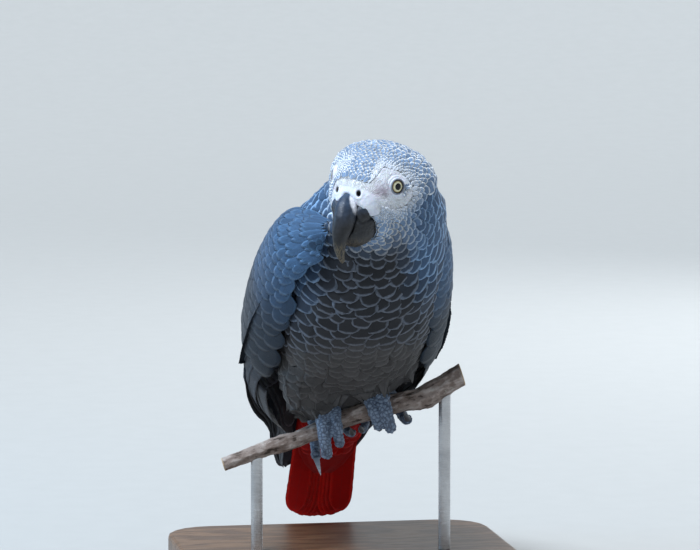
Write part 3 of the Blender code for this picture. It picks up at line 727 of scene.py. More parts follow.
def build_skin(frame, regions):
    """One closed surface from bill to toes, inside the solids by the coat's depth."""
    nodes = frame["nodes"]
    flesh = regions.skin_names + regions.body_names
    shapes = flesh + regions.wing_names + ["eye_left", "eye_right"]
    skin = joined_copy("skin", [nodes[n] for n in shapes], 0.2 * MM)
    remeshed(skin, BODY_VOXEL)
    relax(skin, 5)
    points = points_of(skin)
    scaly = np.isin(regions.owners(points), regions.skin_names).astype(float)
    scaly = neighbour_mean(scaly, edges_of(skin), 2)
    refined(skin, (scaly > 0.02) | (regions.bare(points) > 0.01))
    points = points_of(skin)
    refined(skin, regions.bare(points) > 0.01)
    edges = edges_of(skin)
    points = points_of(skin)
    owners = regions.owners(points)
    depth = np.full(len(points), BODY_COAT)
    depth[owners == "head"] = CROWN_COAT
    depth[owners == "neck"] = NECK_COAT
    wing = np.isin(owners, regions.wing_names)
    depth[wing] = WING_COAT * np.interp(behind_bend(points[wing]), [38, 58], [1.0, 1.8])
    scaly = np.isin(owners, regions.skin_names).astype(float)
    depth[scaly > 0] = 0.05 * MM
    depth = neighbour_mean(depth, edges, 60)
    scaly = neighbour_mean(scaly, edges, 4)
    bare = neighbour_mean(regions.bare(points), edges, 6)
    depth = depth * (1 - bare) * (1 - scaly) + 0.05 * MM
    points = points - normals_of(skin) * depth[:, None]
    set_points(skin, points)
    relax(skin, 2)
    points, flush, pit = face_forms(points_of(skin), normals_of(skin), regions)
    lid = set_eyelids(points, regions)
    set_points(skin, points)
    points, groove = toe_forms(points, normals_of(skin), regions, scaly)
    set_points(skin, points)
    give_numbers(skin, lid=lid, flush=flush, pit=pit, groove=groove)
    corners = read(skin.data.loops, "vertex_index", 1, int)[:, 0]
    first = corners[read(skin.data.polygons, "loop_start", 1, int)[:, 0]]
    kind = np.where(scaly[first] > 0.4, 2, np.where(bare[first] > 0.35, 1, 0))
    skin.data.polygons.foreach_set("material_index", kind.astype(np.int32))
    return skin


# ---------------------------------------------------------------- how far each place is from the bill
class Flow:
    """Distance from the bill over the bird's own surface; the coat lies down along its slope."""

    def __init__(self, frame, regions):
        nodes = frame["nodes"]
        names = regions.body_names + [n for n in regions.skin_names if n.startswith(("shank", "foot"))]
        body = joined_copy("flow", [nodes[n] for n in names], 0.2 * MM)
        remeshed(body, 1.2 * MM)
        relax(body, 4)
        self.points = points_of(body)
        self.edges = edges_of(body)
        self.faces = triangles_of(body)
        bill = tree_of([nodes["bill_upper"], nodes["bill_lower"]])
        gap = np.array([bill.find_nearest(Vector(p))[3] for p in self.points])
        self.reach = self.spread(gap, 2.2 * MM)
        self.reach = neighbour_mean(self.reach, self.edges, 14)
        self.normals = normals_of(body).copy()
        self.slope = self.slopes()
        for _ in range(8):
            self.slope = neighbour_mean(self.slope, self.edges)
            inside = (self.slope * self.normals).sum(1, keepdims=True)
            self.slope = unit(self.slope - inside * self.normals)
        self.tree = BVHTree.FromPolygons(self.points.tolist(), self.faces.tolist())
        bpy.data.objects.remove(body)

    def spread(self, gap, source):
        """Shortest way along the mesh from the rim of the bill to every vertex."""
        count = len(self.points)
        ways = [[] for _ in range(count)]
        lengths = np.linalg.norm(self.points[self.edges[:, 0]] - self.points[self.edges[:, 1]], axis=1)
        for (a, b), length in zip(self.edges.tolist(), lengths.tolist()):
            ways[a].append((b, length))
            ways[b].append((a, length))
        for a, b, c in self.faces.tolist():
            for one, two in ((a, b), (b, c), (c, a)):
                if len(ways[one]) < 8:
                    ways[one].append((two, float(np.linalg.norm(self.points[one] - self.points[two]))))
        reach = [math.inf] * count
        queue = []
        for i in np.flatnonzero(gap < source):
            reach[i] = float(gap[i])
            queue.append((reach[i], int(i)))
        heapq.heapify(queue)
        while queue:
            here, i = heapq.heappop(queue)
            if here > reach[i]:
                continue
            for j, length in ways[i]:
                if here + length < reach[j]:
                    reach[j] = here + length
                    heapq.heappush(queue, (reach[j], j))
        found = np.array(reach)
        found[~np.isfinite(found)] = 0
        return found

    def slopes(self):
        """Direction in which the distance grows, at each vertex."""
        a, b, c = (self.points[self.faces[:, k]] for k in range(3))
        fa, fb, fc = (self.reach[self.faces[:, k]] for k in range(3))
        normal = np.cross(b - a, c - a)
        size = (normal ** 2).sum(1, keepdims=True)
        pull = (np.cross(normal, c - b) * fa[:, None] + np.cross(normal, a - c) * fb[:, None]
                + np.cross(normal, b - a) * fc[:, None]) / np.maximum(size, 1e-20)
        total = np.zeros_like(self.points)
        for k in range(3):
            np.add.at(total, self.faces[:, k], pull)
        return unit(total)

    def loops(self, level):
        """Closed lines of one distance, each a list of (point, normal, slope)."""
        above = self.reach > level
        crossed = self.faces[(above[self.faces].sum(1) % 3) != 0]
        ways = {}
        for a, b, c in crossed.tolist():
            sides = ((a, b), (b, c), (c, a))
            keys = [(min(side), max(side)) for side in sides if above[side[0]] != above[side[1]]]
            ways.setdefault(keys[0], []).append(keys[1])
            ways.setdefault(keys[1], []).append(keys[0])
        lines = []
        while ways:
            start = next(iter(ways))
            chain = [start]
            here = start
            while ways.get(here):
                following = ways[here].pop()
                ways[following].remove(here)
                if not ways[here]:
                    del ways[here]
                here = following
                chain.append(here)
            ways.pop(here, None)
            keys = np.array(chain)
            share = (level - self.reach[keys[:, 0]]) / (self.reach[keys[:, 1]] - self.reach[keys[:, 0]])
            share = share[:, None]
            lines.append([t[keys[:, 0]] * (1 - share) + t[keys[:, 1]] * share
                          for t in (self.points, self.normals, self.slope)])
        return lines


def under_bill(points, regions):
    """1 on the throat and down the front below the bill, 0 on the cheeks and behind."""
    middle = regions.head.origin + (1 * MM, 0, 0)
    away = (points - middle) / MM
    drop = -away[:, 2]
    share = smooth_step(1.5, 0.6, np.abs(away[:, 0]) / (11 + 0.5 * np.maximum(drop - 24, 0)))
    return share * smooth_step(17, 27, drop) * smooth_step(45, 30, away[:, 1])


def belly_share(points):
    """1 on the soft belly between the legs, 0 on the breast."""
    return smooth_step(43, 30, (points[:, 2] - PERCH_MIDDLE[2]) / MM + 0.15 * points[:, 1] / MM)


def back_share(points):
    """1 on the back and the nape, 0 on the sides and the front."""
    rise = (points - box_middle("trunk")) @ np.array([0, math.sin(WING_FALL), math.cos(WING_FALL)])
    return smooth_step(14, 26, rise / MM)


def near_face(points, regions):
    """0 inside the bare patch round the eye, 1 on its rim, larger further out."""
    side, ahead, up = regions.head.own(points).T / MM
    middle = np.where(side > 0, 5.4, 3.8)
    reach = np.where(side > 0, 11.3 - 2.7 * (ahead < middle), 6.9 - 1.6 * (ahead > middle))
    away = np.sqrt(((ahead - middle) / reach) ** 2 + ((up + 1.2 - 0.12 * ahead) / 10.2) ** 2)
    return np.where(np.abs(side) > 6, away, 9.0)


def row_gap(points, reach, regions):
    """Distance from one feather to the next along the coat: fine on the crown, broad on the breast."""
    up = regions.head.own(points)[:, 2] / MM
    far = reach / MM
    crown = np.interp(far, [0, 5, 15, 26, 40, 55, 72, 110], [1.1, 1.3, 1.65, 2.0, 2.7, 3.6, 4.4, 4.8])
    cheek = np.interp(far, [0, 7, 14, 24, 36, 50, 66, 120], [1.3, 1.5, 2.0, 2.6, 3.2, 3.8, 4.3, 4.6])
    throat = np.interp(far, [0, 5, 12, 22, 36, 50, 66, 120], [1.6, 2.0, 2.6, 3.2, 3.7, 4.0, 4.3, 4.5])
    gap = mixed(cheek[:, None], crown[:, None], smooth_step(-5, 5, up))
    gap = gap * (0.52 + 0.48 * smooth_step(1.0, 2.0, near_face(points, regions)))[:, None]
    gap = mixed(gap, throat[:, None], under_bill(points, regions))
    gap = mixed(gap, np.array([4.6]), back_share(points) * smooth_step(40, 65, far))
    return mixed(gap, np.array([3.6]), belly_share(points))[:, 0] * MM


def feather_width(points, gap, regions):
    """The large feathers are broad for their length, those of the crown are nearly round."""
    crown = np.maximum(smooth_step(-5, 5, regions.head.own(points)[:, 2] / MM), back_share(points))[:, None]
    broad = np.interp(gap / MM, [1.0, 1.4, 2.0, 3.0, 4.0, 4.6], [1.8, 3.4, 6.2, 10.5, 14.5, 16.0]) * MM
    broad *= 1 - 0.15 * belly_share(points)
    return mixed(broad[:, None], (gap * (1.35 + 80 * gap))[:, None], crown[:, 0])[:, 0]


def crowded(one, others):
    """True for each place of one that lies too close to any of others, seen along and across the coat.
    The columns of both are those of seat_feathers: point, normal, slope, level, gap and width."""
    if not len(others):
        return np.zeros(len(one), bool)
    away = one[:, None, :3] - others[None, :, :3]
    along = (away * one[:, None, 6:9]).sum(2)
    flat = (away ** 2).sum(2)
    gap = (one[:, None, 10] + others[None, :, 10]) / 2
    width = (one[:, None, 11] + others[None, :, 11]) / 2
    across = np.maximum(flat - along ** 2, 0)
    return (across / (0.64 * width) ** 2 + (along / (1.06 * gap)) ** 2 < 1).any(1)


def seat_feathers(flow, regions):
    """Places of the body feathers, packed from the bill backwards: each row fills the gaps of the last."""
    taken = np.zeros((0, 12))
    level = 1.0 * MM
    while level < flow.reach.max():
        tables = []
        for points, normals, slope in flow.loops(level):
            gap = row_gap(points, np.full(len(points), level), regions)
            widths = feather_width(points, gap, regions)
            pace = 1 / (0.2 * widths)
            steps = np.linalg.norm(np.diff(points, axis=0), axis=1)
            marks = np.concatenate([[0], np.cumsum(steps * (pace[1:] + pace[:-1]) / 2)])
            if marks[-1] < 12:
                continue
            spots = np.arange(0, marks[-1], 1.0) + RNG.uniform(0, 1)
            spots = spots[spots < marks[-1]]
            facts = [*points.T, *normals.T, *slope.T, np.full(len(points), level), gap, widths]
            tables.append(np.stack([np.interp(spots, marks, fact) for fact in facts], 1))
        least = 1.5 * MM
        if tables:
            places = np.concatenate(tables)
            least = places[:, 10].min()
            near = taken[taken[:, 9] > level - 9 * MM]
            free = places[~crowded(places, near)]
            fresh = []
            for place in free:
                if not fresh or not crowded(place[None], np.array(fresh[-60:]))[0]:
                    fresh.append(place)
            if fresh:
                taken = np.concatenate([taken, np.array(fresh)])
        level += 0.22 * least
    return {"root": taken[:, :3], "normal": unit(taken[:, 3:6]), "flow": unit(taken[:, 6:9]),
            "reach": taken[:, 9], "step": taken[:, 10], "width": taken[:, 11],
            "order": RNG.integers(0, 3, len(taken)) / 2}


# ---------------------------------------------------------------- vanes
class Vane:
    """Pattern of one closed vane: a top sheet and an under sheet that meet at the rim."""

    def __init__(self, across, along, long_strip=False):
        u, v = np.meshgrid(np.linspace(-1, 1, across), np.linspace(-1, 1, along), indexing="ij")
        u, v = u.ravel(), v.ravel()
        rim = np.maximum(np.abs(u), np.abs(v))
        if long_strip:
            self.along = t = 1 - (1 - (v + 1) / 2) ** 1.5
            tip = np.sqrt(np.clip(1 - ((t - 0.86) / 0.14) ** 2, 0.0004, 1))
            self.across = u * (np.where(t > 0.86, tip, 1.0) * (0.55 + 0.45 * smooth_step(0, 0.25, t)))
            self.margin = np.maximum(np.abs(u), smooth_step(0.93, 1.0, t))
        else:
            x = u * np.sqrt(1 - v ** 2 / 2)
            self.along = (v * np.sqrt(1 - u ** 2 / 2) + 1) / 2
            self.across = x * (0.50 + 0.50 * smooth_step(0.0, 0.45, self.along))
            self.margin = rim
        self.inner = np.flatnonzero(rim < 1 - 1e-9)
        self.body = 1 - self.margin ** 2
        top = np.arange(across * along).reshape(across, along)
        under = top.copy()
        under.ravel()[self.inner] = across * along + np.arange(len(self.inner))
        quads = []
        for grid, flip in ((top, False), (under, True)):
            a, b, c, d = grid[:-1, :-1], grid[1:, :-1], grid[1:, 1:], grid[:-1, 1:]
            order = (a, d, c, b) if flip else (a, b, c, d)
            quads.append(np.stack([part.ravel() for part in order], 1))
        self.faces = np.concatenate(quads)
        self.count = across * along


def settle(obj, looks, slot, *nodes):
    """Gives a piece its looks and hides the nodes that it stands in for; its slot in the record is not used.
    """
    for look in looks:
        obj.data.materials.append(look)
    shade_smooth(obj)
    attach(obj, "root")
    if nodes:
        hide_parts(*nodes)


class Coat:
    """Collects vanes, then becomes one mesh with its colours and its OFBake map."""

    def __init__(self, name):
        self.name = name
        self.parts = []
        self.total = 0

    def add(self, vane, top, under, facts):
        """top (n, m, 3) and under (n, inner, 3) are points; facts has one row per feather."""
        points = np.concatenate([top, under], 1)
        n, size = points.shape[:2]
        faces = vane.faces[None] + (np.arange(n) * size)[:, None, None] + self.total
        pick = np.concatenate([np.arange(vane.count), vane.inner])
        across = facts["width"][:, None] / 2 * vane.across[pick]
        along = facts["length"][:, None] * vane.along[pick]
        barb = (along - 0.75 * np.abs(across)) / MM
        shaft = across / MM * np.where(facts["width"] < 3 * MM, 9, 1)[:, None]
        vector = np.stack([barb * 1.6, shaft, np.broadcast_to(facts["seed"][:, None], barb.shape)], 2)
        rim_width = np.interp(facts["width"] / MM, [2, 5, 15], [0.34, 0.85, 2.0]) * MM
        inset = (1 - vane.margin[pick]) * (facts["width"] / 2 / rim_width)[:, None]
        patch = np.stack([vane.margin[pick] - 0.5, vane.along[pick] - 0.5], 1) * 0.003
        bake = facts["bake"][:, None] + patch[None]
        self.parts.append({
            "points": points.reshape(-1, 3), "faces": faces.reshape(-1, 4),
            "margin": inset.reshape(-1), "vane": vector.reshape(-1, 3),
            "centre": np.repeat(facts["centre"], size, 0), "rim": np.repeat(facts["rim"], size, 0),
            "bake": bake.reshape(-1, 2)})
        self.total += n * size

    def made(self, material, slot, *nodes):
        """Builds the one mesh from all that was added."""
        table = {key: np.concatenate([p[key] for p in self.parts]) for key in self.parts[0]}
        mesh = bpy.data.meshes.new(self.name)
        faces = table["faces"].astype(np.int32)
        mesh.vertices.add(len(table["points"]))
        mesh.vertices.foreach_set("co", table["points"].ravel())
        mesh.loops.add(faces.size)
        mesh.loops.foreach_set("vertex_index", faces.ravel())
        mesh.polygons.add(len(faces))
        mesh.polygons.foreach_set("loop_start", np.arange(0, faces.size, 4, dtype=np.int32))
        mesh.update(calc_edges=True)
        obj = placed(self.name, mesh)
        give_numbers(obj, margin=table["margin"])
        give_vectors(obj, "vane", table["vane"])
        give_colours(obj, "centre", table["centre"])
        give_colours(obj, "rim", table["rim"])
        bake = mesh.uv_layers.new(name="OFBake")
        bake.data.foreach_set("uv", table["bake"][faces.ravel()].astype(np.float32).ravel())
        settle(obj, [material], slot, *nodes)


def nearest_on(tree, points):
    """Each point moved to the closest place of the surface."""
    shape = points.shape
    flat = points.reshape(-1, 3)
    result = np.empty_like(flat)
    for i, p in enumerate(flat.tolist()):
        result[i] = tree.find_nearest(p)[0]
    return result.reshape(shape)


def lay_on_skin(vane, tree, seats):
    """Bends vanes over the skin. Each has a root, normal, flow, width, length, lifts, thick and crown."""
    n = len(seats["root"])
    side = unit(np.cross(seats["flow"], seats["normal"]))
    flow = unit(np.cross(seats["normal"], side))
    turn = RNG.normal(0, 0.07, n)[:, None]
    flow, side = flow * np.cos(turn) + side * np.sin(turn), side * np.cos(turn) - flow * np.sin(turn)
    rough = 1 + RNG.normal(0, RAGGED, (n, vane.count)) * (vane.margin > 0.9) * (vane.along > 0.3)
    own = {key: values[:, None] for key, values in seats.items()}
    x = own["width"] / 2 * vane.across * rough
    y = own["length"] * (vane.along * rough - 0.12)
    on = nearest_on(tree, own["root"] + side[:, None] * x[..., None] + flow[:, None] * y[..., None])
    share = vane.along[None] ** 1.1
    lift = own["lift_root"] * (1 - share) + own["lift_tip"] * share
    arch = own["crown"] * (1 - vane.across ** 2) * (0.3 + 0.7 * vane.along)
    tilt = RNG.normal(0, 0.05, n)[:, None] * x
    top = on + own["normal"] * (lift + arch + tilt)[..., None]
    under = top[:, vane.inner] - own["normal"] * (own["thick"] * vane.body[vane.inner])[..., None]
    return top, under


def body_colours(seats, regions):
    """Colour of the middle and of the rim of each body feather."""
    root = seats["root"]
    side, ahead, up = regions.head.own(root).T / MM
    reach = seats["reach"] / MM
    facing = seats["normal"][:, 1]
    height = (root[:, 2] - PERCH_MIDDLE[2]) / MM
    colours = []
    throat = under_bill(root, regions)
    # near is pushed outward on the head's right side (side below zero), so its pale cheek colours shrink
    # there: painted shade on that side
    near = near_face(root, regions) + 0.5 * (side < 0)
    for k in range(2):
        low_down = smooth_step(4, -10, up)
        shade = mixed(CROWN[k], NECK[k], smooth_step(32 - 25 * low_down, 62 - 34 * low_down, reach))
        # the white near the bill keeps only a ninth of its share on the head's right side: painted shade on
        # that side
        pale = smooth_step(9, 1, reach) * smooth_step(-16, -10, up) * np.where(side < -6, 0.1, 0.9)
        shade = mixed(shade, WHITE[k], pale)
        shade = mixed(shade, CHEEK[k], smooth_step(1.6, 0.95, near - 0.02 * np.maximum(ahead - up - 10, 0)))
        shade = mixed(shade, WHITE[k], smooth_step(1.25, 0.95, near) * 0.6)
        trunk = mixed(BREAST[k], BACK[k], smooth_step(0.0, 0.6, facing))
        # under the bill the dark trunk colours start soon after it: partly the throat's own darker feathers,
        # partly painted shade under the bill
        low = smooth_step(38, 84, reach) * (1 - throat) + smooth_step(1, 18, reach) * throat
        shade = mixed(shade, trunk, low)
        shade = mixed(shade, BELLY[k], belly_share(root) * smooth_step(0.35, 0.0, facing))
        rump = smooth_step(30, 8, height) * smooth_step(0.2, 0.6, facing)
        shade = mixed(shade, RUMP[k], rump)
        colours.append(shade)
    tone = np.exp(RNG.normal(0, 0.11, len(root)))[:, None]
    return colours[0] * tone, colours[1] * np.sqrt(tone)


def behind_bend(points):
    """Distance (in mm) of each point behind the bend of the wing on its own side."""
    left, right = (wing_axes(side).own(points)[:, 0] / MM for side in (1, -1))
    return np.where(points[:, 0] > 0, left, right)


def skin_markings(skin, seats, regions):
    """The bed under the coat takes the colour of the feathers nearest to it, or of the wing coverts, a
    quarter darker as painted shade under the coat.
    """
    tree = KDTree(len(seats["root"]))
    for i, p in enumerate(seats["root"].tolist()):
        tree.insert(p, i)
    tree.balance()
    points = points_of(skin)
    nearest = np.array([tree.find(p)[1] for p in points.tolist()])
    wing = np.isin(regions.owners(points), regions.wing_names)[:, None]
    # the coverts' bed colour takes the wing's painted light and shade too
    covert = np.array(WING[0]) * painted_wing_light(behind_bend(points))
    # the bed is a quarter darker than the feathers: painted shade under the coat
    give_colours(skin, "marking", np.where(wing, covert, seats["centre"][nearest]) * 0.75)


def covered_by_wing(seats, wings, sheets):
    """True where the folded wing hides a feather and the place it runs to."""
    hidden = np.zeros(len(seats["root"]), bool)
    for sheet in sheets:
        tips = seats["root"] + seats["flow"] * 9 * MM
        hidden |= (seats["reach"] > 45 * MM) & sheet.hides(seats["root"]) & sheet.hides(tips)
    for i in range(len(hidden)):
        if hidden[i] or seats["reach"][i] < 70 * MM:
            continue
        out = Vector(seats["normal"][i])
        spots = [Vector(seats["root"][i] + seats["flow"][i] * way) for way in (0, 14 * MM)]
        hidden[i] = all(wings.ray_cast(s + out * 2 * MM, out, 14 * MM)[0] is not None for s in spots)
    return hidden


def build_face_down(regions, tree, material):
    """Very short pale down over the bare face, so that its edge melts into the feathers."""
    head = regions.head
    roots, normals, flows = [], [], []

    def seat(start, toward, wanted, lie):
        """One tuft where a ray from start meets the skin, if the place is wanted."""
        hit, normal, _, _ = tree.ray_cast(Vector(head.world(np.array(start) * MM)), Vector(toward))
        if hit is not None:
            own = head.own(np.array(hit)) / MM
            if wanted(own, hit):
                roots.append(hit)
                normals.append(normal)
                flows.append((lie(own) + RNG.normal(0, 0.15, 3)) @ head.rows)

    def on_face(own, hit):
        return own[1] <= 14.5 and abs(own[0]) >= 6 and regions.bare(np.array([hit]))[0] >= 0.1

    spots = []
    for sign in (1, -1):
        for _ in range(FACE_TUFTS):
            spin, out = RNG.uniform(0, 2 * math.pi), math.sqrt(RNG.uniform(0.10, 1.35))
            ahead = 5.4 + 11.3 * out * math.cos(spin)
            spots.append((sign, ahead, -1.2 + 0.12 * ahead + 10.2 * out * math.sin(spin)))
    for sign, ahead, up in spots:
        seat((sign * 30, ahead, up), -sign * head.rows[0], on_face,
             lambda own: np.array([0.0, -1.0, (own[2] + 1.5) / 9]))
    for _ in range(CERE_TUFTS):
        across, rise = RNG.uniform(-10, 9), RNG.uniform(-0.5, 5.5)
        seat((across, 40, rise - 0.02 * across ** 2), -head.rows[1], lambda own, hit: own[1] >= 10,
             lambda own: np.array([0.06 * across, -0.3, 1.0]))
    roots, normals = np.array(roots), unit(normals)
    near = np.ones(len(roots), bool)
    for centre, pole, radius in eye_directions(regions):
        near &= np.linalg.norm(roots - (centre + pole * radius), axis=1) > 5.6 * MM
    seats = {"root": roots[near], "normal": normals[near], "flow": unit(np.array(flows)[near])}
    n = len(seats["root"])
    seats["width"] = RNG.uniform(0.16, 0.28, n) * MM
    seats["length"] = RNG.uniform(1.6, 3.0, n) * MM
    for key, value in (("lift_root", -0.02), ("lift_tip", 0.10), ("thick", 0.05), ("crown", 0.02)):
        seats[key] = np.full(n, value * MM)
    vane = Vane(3, 5)
    top, under = lay_on_skin(vane, tree, seats)
    own = head.own(seats["root"]) / MM
    seats["bake"] = 0.5 + own[:, 1:] / 60 + np.where(own[:, :1] > 0, 0.2, -0.2)
    tone = RNG.uniform(0.88, 1.0, n)[:, None]
    flush = (hill(own[:, 1], 10.5, 3.0) * hill(own[:, 2], -0.5, 2.8))[:, None]
    tone = tone * (1 - flush * (0.34, 0.42, 0.34))
    tone = np.where((own[:, 1] > 13)[:, None], np.maximum(tone, 0.97), tone)
    # the down's faint blue tint is partly painted blue sky light
    seats["centre"], seats["rim"] = tone * (0.86, 0.91, 1.0), tone * (0.93, 0.96, 1.0)
    seats["seed"] = RNG.uniform(0, 90, n)
    coat = Coat("coat_face")
    coat.add(vane, top, under, seats)
    coat.made(material, "feathers_pale")


def build_body_coat(frame, regions, skin, sheets, material):
    """Scale-like feathers from the crown to the belly, in three pieces that span the bird."""
    nodes = frame["nodes"]
    flow = Flow(frame, regions)
    seats = seat_feathers(flow, regions)
    wings = tree_of([node for name, node in nodes.items() if name.startswith("wing_")])
    keep = regions.bare(seats["root"]) < 0.5
    keep &= ~np.isin(regions.owners(seats["root"]), regions.skin_names)
    keep &= ~covered_by_wing(seats, wings, sheets)
    seats["centre"], seats["rim"] = body_colours(seats, regions)
    skin_markings(skin, seats, regions)
    seats = {key: values[keep] for key, values in seats.items()}
    tree = BVHTree.FromPolygons(points_of(skin).tolist(), [list(f.vertices) for f in skin.data.polygons])
    build_face_down(regions, tree, material)
    reach = seats["reach"]
    soft = belly_share(seats["root"])
    seats["width"] = seats["width"] * RNG.uniform(0.86, 1.16, len(reach))
    seats["length"] = seats["step"] * (2.7 + 0.35 * soft) * RNG.uniform(0.92, 1.1, len(reach))
    back = back_share(seats["root"]) * smooth_step(50, 75, reach / MM)
    depth = np.interp(reach / MM, [0, 8, 28, 52, 80], [0.35, 0.85, 0.95, 1.75, 2.8]) * (1 - 0.15 * back) * MM
    seats["lift_root"] = 0.10 * depth + 0.06 * depth * seats["order"]
    seats["lift_tip"] = depth * (0.92 + 0.10 * seats["order"])
    seats["thick"] = np.interp(seats["step"] / MM, [1.2, 6.5], [0.12, 0.26]) * MM
    seats["crown"] = np.interp(seats["step"] / MM, [1.2, 3.0, 6.5], [0.22, 0.35, 0.75]) * MM
    seats["crown"] *= 1 - 0.5 * np.maximum(soft, back)
    angle = np.arctan2(seats["root"][:, 0], seats["root"][:, 1] + 30 * MM)
    seats["bake"] = 0.02 + 0.96 * np.stack([angle / (2 * math.pi) + 0.5, reach / flow.reach.max()], 1)
    seats["seed"] = RNG.uniform(0, 90, len(reach))
    groups = (("coat_head", "feathers_pale", 0, HEAD_COAT_END, Vane(5, 5)),
              ("coat_neck", "feathers_grey", HEAD_COAT_END, NECK_COAT_END, Vane(7, 7)),
              ("coat_body", "feathers_grey", NECK_COAT_END, math.inf, Vane(9, 9)))
    for name, slot, start, stop, vane in groups:
        part = {key: values[(reach >= start) & (reach < stop)] for key, values in seats.items()}
        coat = Coat(name)
        coat.add(vane, *lay_on_skin(vane, tree, part), part)
        coat.made(material, slot)


# ---------------------------------------------------------------- wings and tail
def beside(table, **padding):
    """The four neighbours of every place of a grid."""
    padded = np.pad(table, 1, **padding)
    return np.stack([padded[:-2, 1:-1], padded[2:, 1:-1], padded[1:-1, :-2], padded[1:-1, 2:]])


class Sheet:
    """Height of a solid over a plane, found by rays on an even grid and read back smoothly."""

    def __init__(self, axes, nodes, from_top=True, step=2 * MM, margin=6 * MM, under=(), wider=0.0):
        self.axes = axes
        self.step = step
        self.wider = wider
        tree = tree_of(nodes)
        points = np.concatenate([points_of(n) for n in nodes])
        own = axes.own(points)
        self.low = own.min(0) - margin
        high = own.max(0) + margin + 40 * MM * bool(under)
        self.size = np.ceil((high - self.low)[:2] / step).astype(int) + 1
        start = high[2] if from_top else max(self.low[2], -0.8 * BODY_RADIUS)
        pace = -MM if from_top else MM
        self.heights = np.full(self.size, np.nan)
        for i in range(self.size[0]):
            for j in range(self.size[1]):
                a, c = self.low[0] + i * step, self.low[1] + j * step
                spot = axes.world((a, c, start))
                direction = axes.world((a, c, start + pace)) - spot
                hit = tree.ray_cast(Vector(spot), Vector(direction), 0.09)[0]
                if hit is not None:
                    self.heights[i, j] = axes.own(np.array(hit))[2]
        self.found = ~np.isnan(self.heights)
        self.rows = np.flatnonzero(self.found.sum(1) > 1)
        if under:
            body = Sheet(axes, under, step=step, margin=0.0)
            a, c = np.indices(self.size) * step + self.low[:2, None, None]
            nearest_row = np.clip(np.arange(self.size[0]), self.rows[0], self.rows[-1])
            edge = self.low[1] + self.found[nearest_row].argmax(1) * step
            front = self.low[0] + self.rows[0] * step
            past = np.maximum((edge[:, None] - c) / wider, (front - a) / (12 * MM))
            raise_by = (1.6 - 3.2 * np.clip(past, 0, 1)) * MM
            raised = np.where(body.covers(a, c), body.height(a, c) + raise_by, np.nan)
            self.heights = np.fmax(self.heights, raised)
            row = np.arange(self.size[0])[:, None]
            self.drape(np.where(row < self.rows[0] + 1, 1.5, 0.7) * step)
        self.fill(3 if under else 2)

    def drape(self, fall):
        """Lets the surface fall away only gently from every high place, like stiff overlapping feathers."""
        for _ in range(14):
            highest = np.fmax.reduce(beside(self.heights, constant_values=np.nan), axis=0) - fall
            self.heights = np.fmax(self.heights, highest)

    def covers(self, a, c):
        """True where the solid lies under the place."""
        i = np.round((a - self.low[0]) / self.step).astype(int)
        j = np.round((c - self.low[1]) / self.step).astype(int)
        inside = (i >= 0) & (j >= 0) & (i < self.size[0]) & (j < self.size[1])
        return inside & self.found[np.clip(i, 0, self.size[0] - 1), np.clip(j, 0, self.size[1] - 1)]

    def fill(self, rounds):
        """Carries the heights outward past the outline, then softens them."""
        for _ in range(40):
            missing = np.isnan(self.heights)
            if not missing.any():
                break
            around = beside(self.heights, constant_values=np.nan)
            known = ~np.isnan(around)
            total = np.where(known, around, 0).sum(0) / np.maximum(known.sum(0), 1)
            self.heights = np.where(missing & known.any(0), total, self.heights)
        self.heights = np.where(np.isnan(self.heights), np.nanmean(self.heights), self.heights)
        ridge = self.heights - 0.35 * MM
        for _ in range(rounds):
            self.heights = (beside(self.heights, mode="edge").sum(0) + 2 * self.heights) / 6
        if rounds > 2:
            self.heights = np.maximum(self.heights, ridge)

    def height(self, a, c):
        """Height over the plane, read smoothly between the places of the grid."""
        x = np.clip((a - self.low[0]) / self.step, 0, self.size[0] - 1.001)
        y = np.clip((c - self.low[1]) / self.step, 0, self.size[1] - 1.001)
        i, j = x.astype(int), y.astype(int)
        fx, fy = x - i, y - j
        h = self.heights
        return (h[i, j] * (1 - fx) * (1 - fy) + h[i + 1, j] * fx * (1 - fy)
                + h[i, j + 1] * (1 - fx) * fy + h[i + 1, j + 1] * fx * fy)

    def span(self, a):
        """Lowest and highest place across the solid at distance a."""
        i = int(round((a - self.low[0]) / self.step))
        if i > self.rows[-1] + 1:
            return None
        shoulder = self.rows[0] + int(SHOULDER / self.step) * (self.wider > 0)
        hits = np.flatnonzero(self.found[min(max(i, shoulder), self.rows[-1])])
        more = self.wider * smooth_step(-30 * MM, 5 * MM, a) * smooth_step(205 * MM, 170 * MM, a)
        more *= 1 - 0.45 * smooth_step(110 * MM, 140 * MM, a)
        return self.low[1] + hits[0] * self.step - more, self.low[1] + hits[-1] * self.step

    def hides(self, points):
        """True for world places that lie under the sheet, well inside its edges."""
        a, c, _ = self.axes.own(points).T
        hidden = np.zeros(len(points), bool)
        for i in np.flatnonzero(a > 2 * MM):
            span = self.span(a[i])
            hidden[i] = span is not None and span[0] + 7 * MM < c[i] < span[1] - 5 * MM
        return hidden


def lay_on_sheet(vane, sheet, seats, sign=1.0):
    """Vanes on a sheet. seats: a, c (root), turn, length, width, low, high (lift), thick, crown."""
    own = {key: values[:, None] for key, values in seats.items()}
    x = own["width"] / 2 * vane.across
    x = x * (1 + RNG.normal(0, RAGGED, x.shape) * (vane.margin > 0.9))
    y = own["length"] * vane.along
    turn = own["turn"]
    a = own["a"] + y * np.cos(turn) - x * np.sin(turn)
    c = own["c"] + y * np.sin(turn) + x * np.cos(turn)
    lift = own["low"] + (own["high"] - own["low"]) * vane.along
    arch = own["crown"] * (1 - vane.across ** 2)
    top = sheet.height(a, c) + sign * (lift + arch + own["slant"] * vane.across)
    places = sheet.axes.world(np.stack([a, c, top], 2))
    down = sign * own["thick"] * vane.body[vane.inner]
    lower = sheet.axes.world(np.stack([a[:, vane.inner], c[:, vane.inner], top[:, vane.inner] - down], 2))
    return places, lower


def table_of(rows):
    """Turns a list of dictionaries into one dictionary of arrays."""
    return {key: np.array([row[key] for row in rows], float) for key in rows[0]}


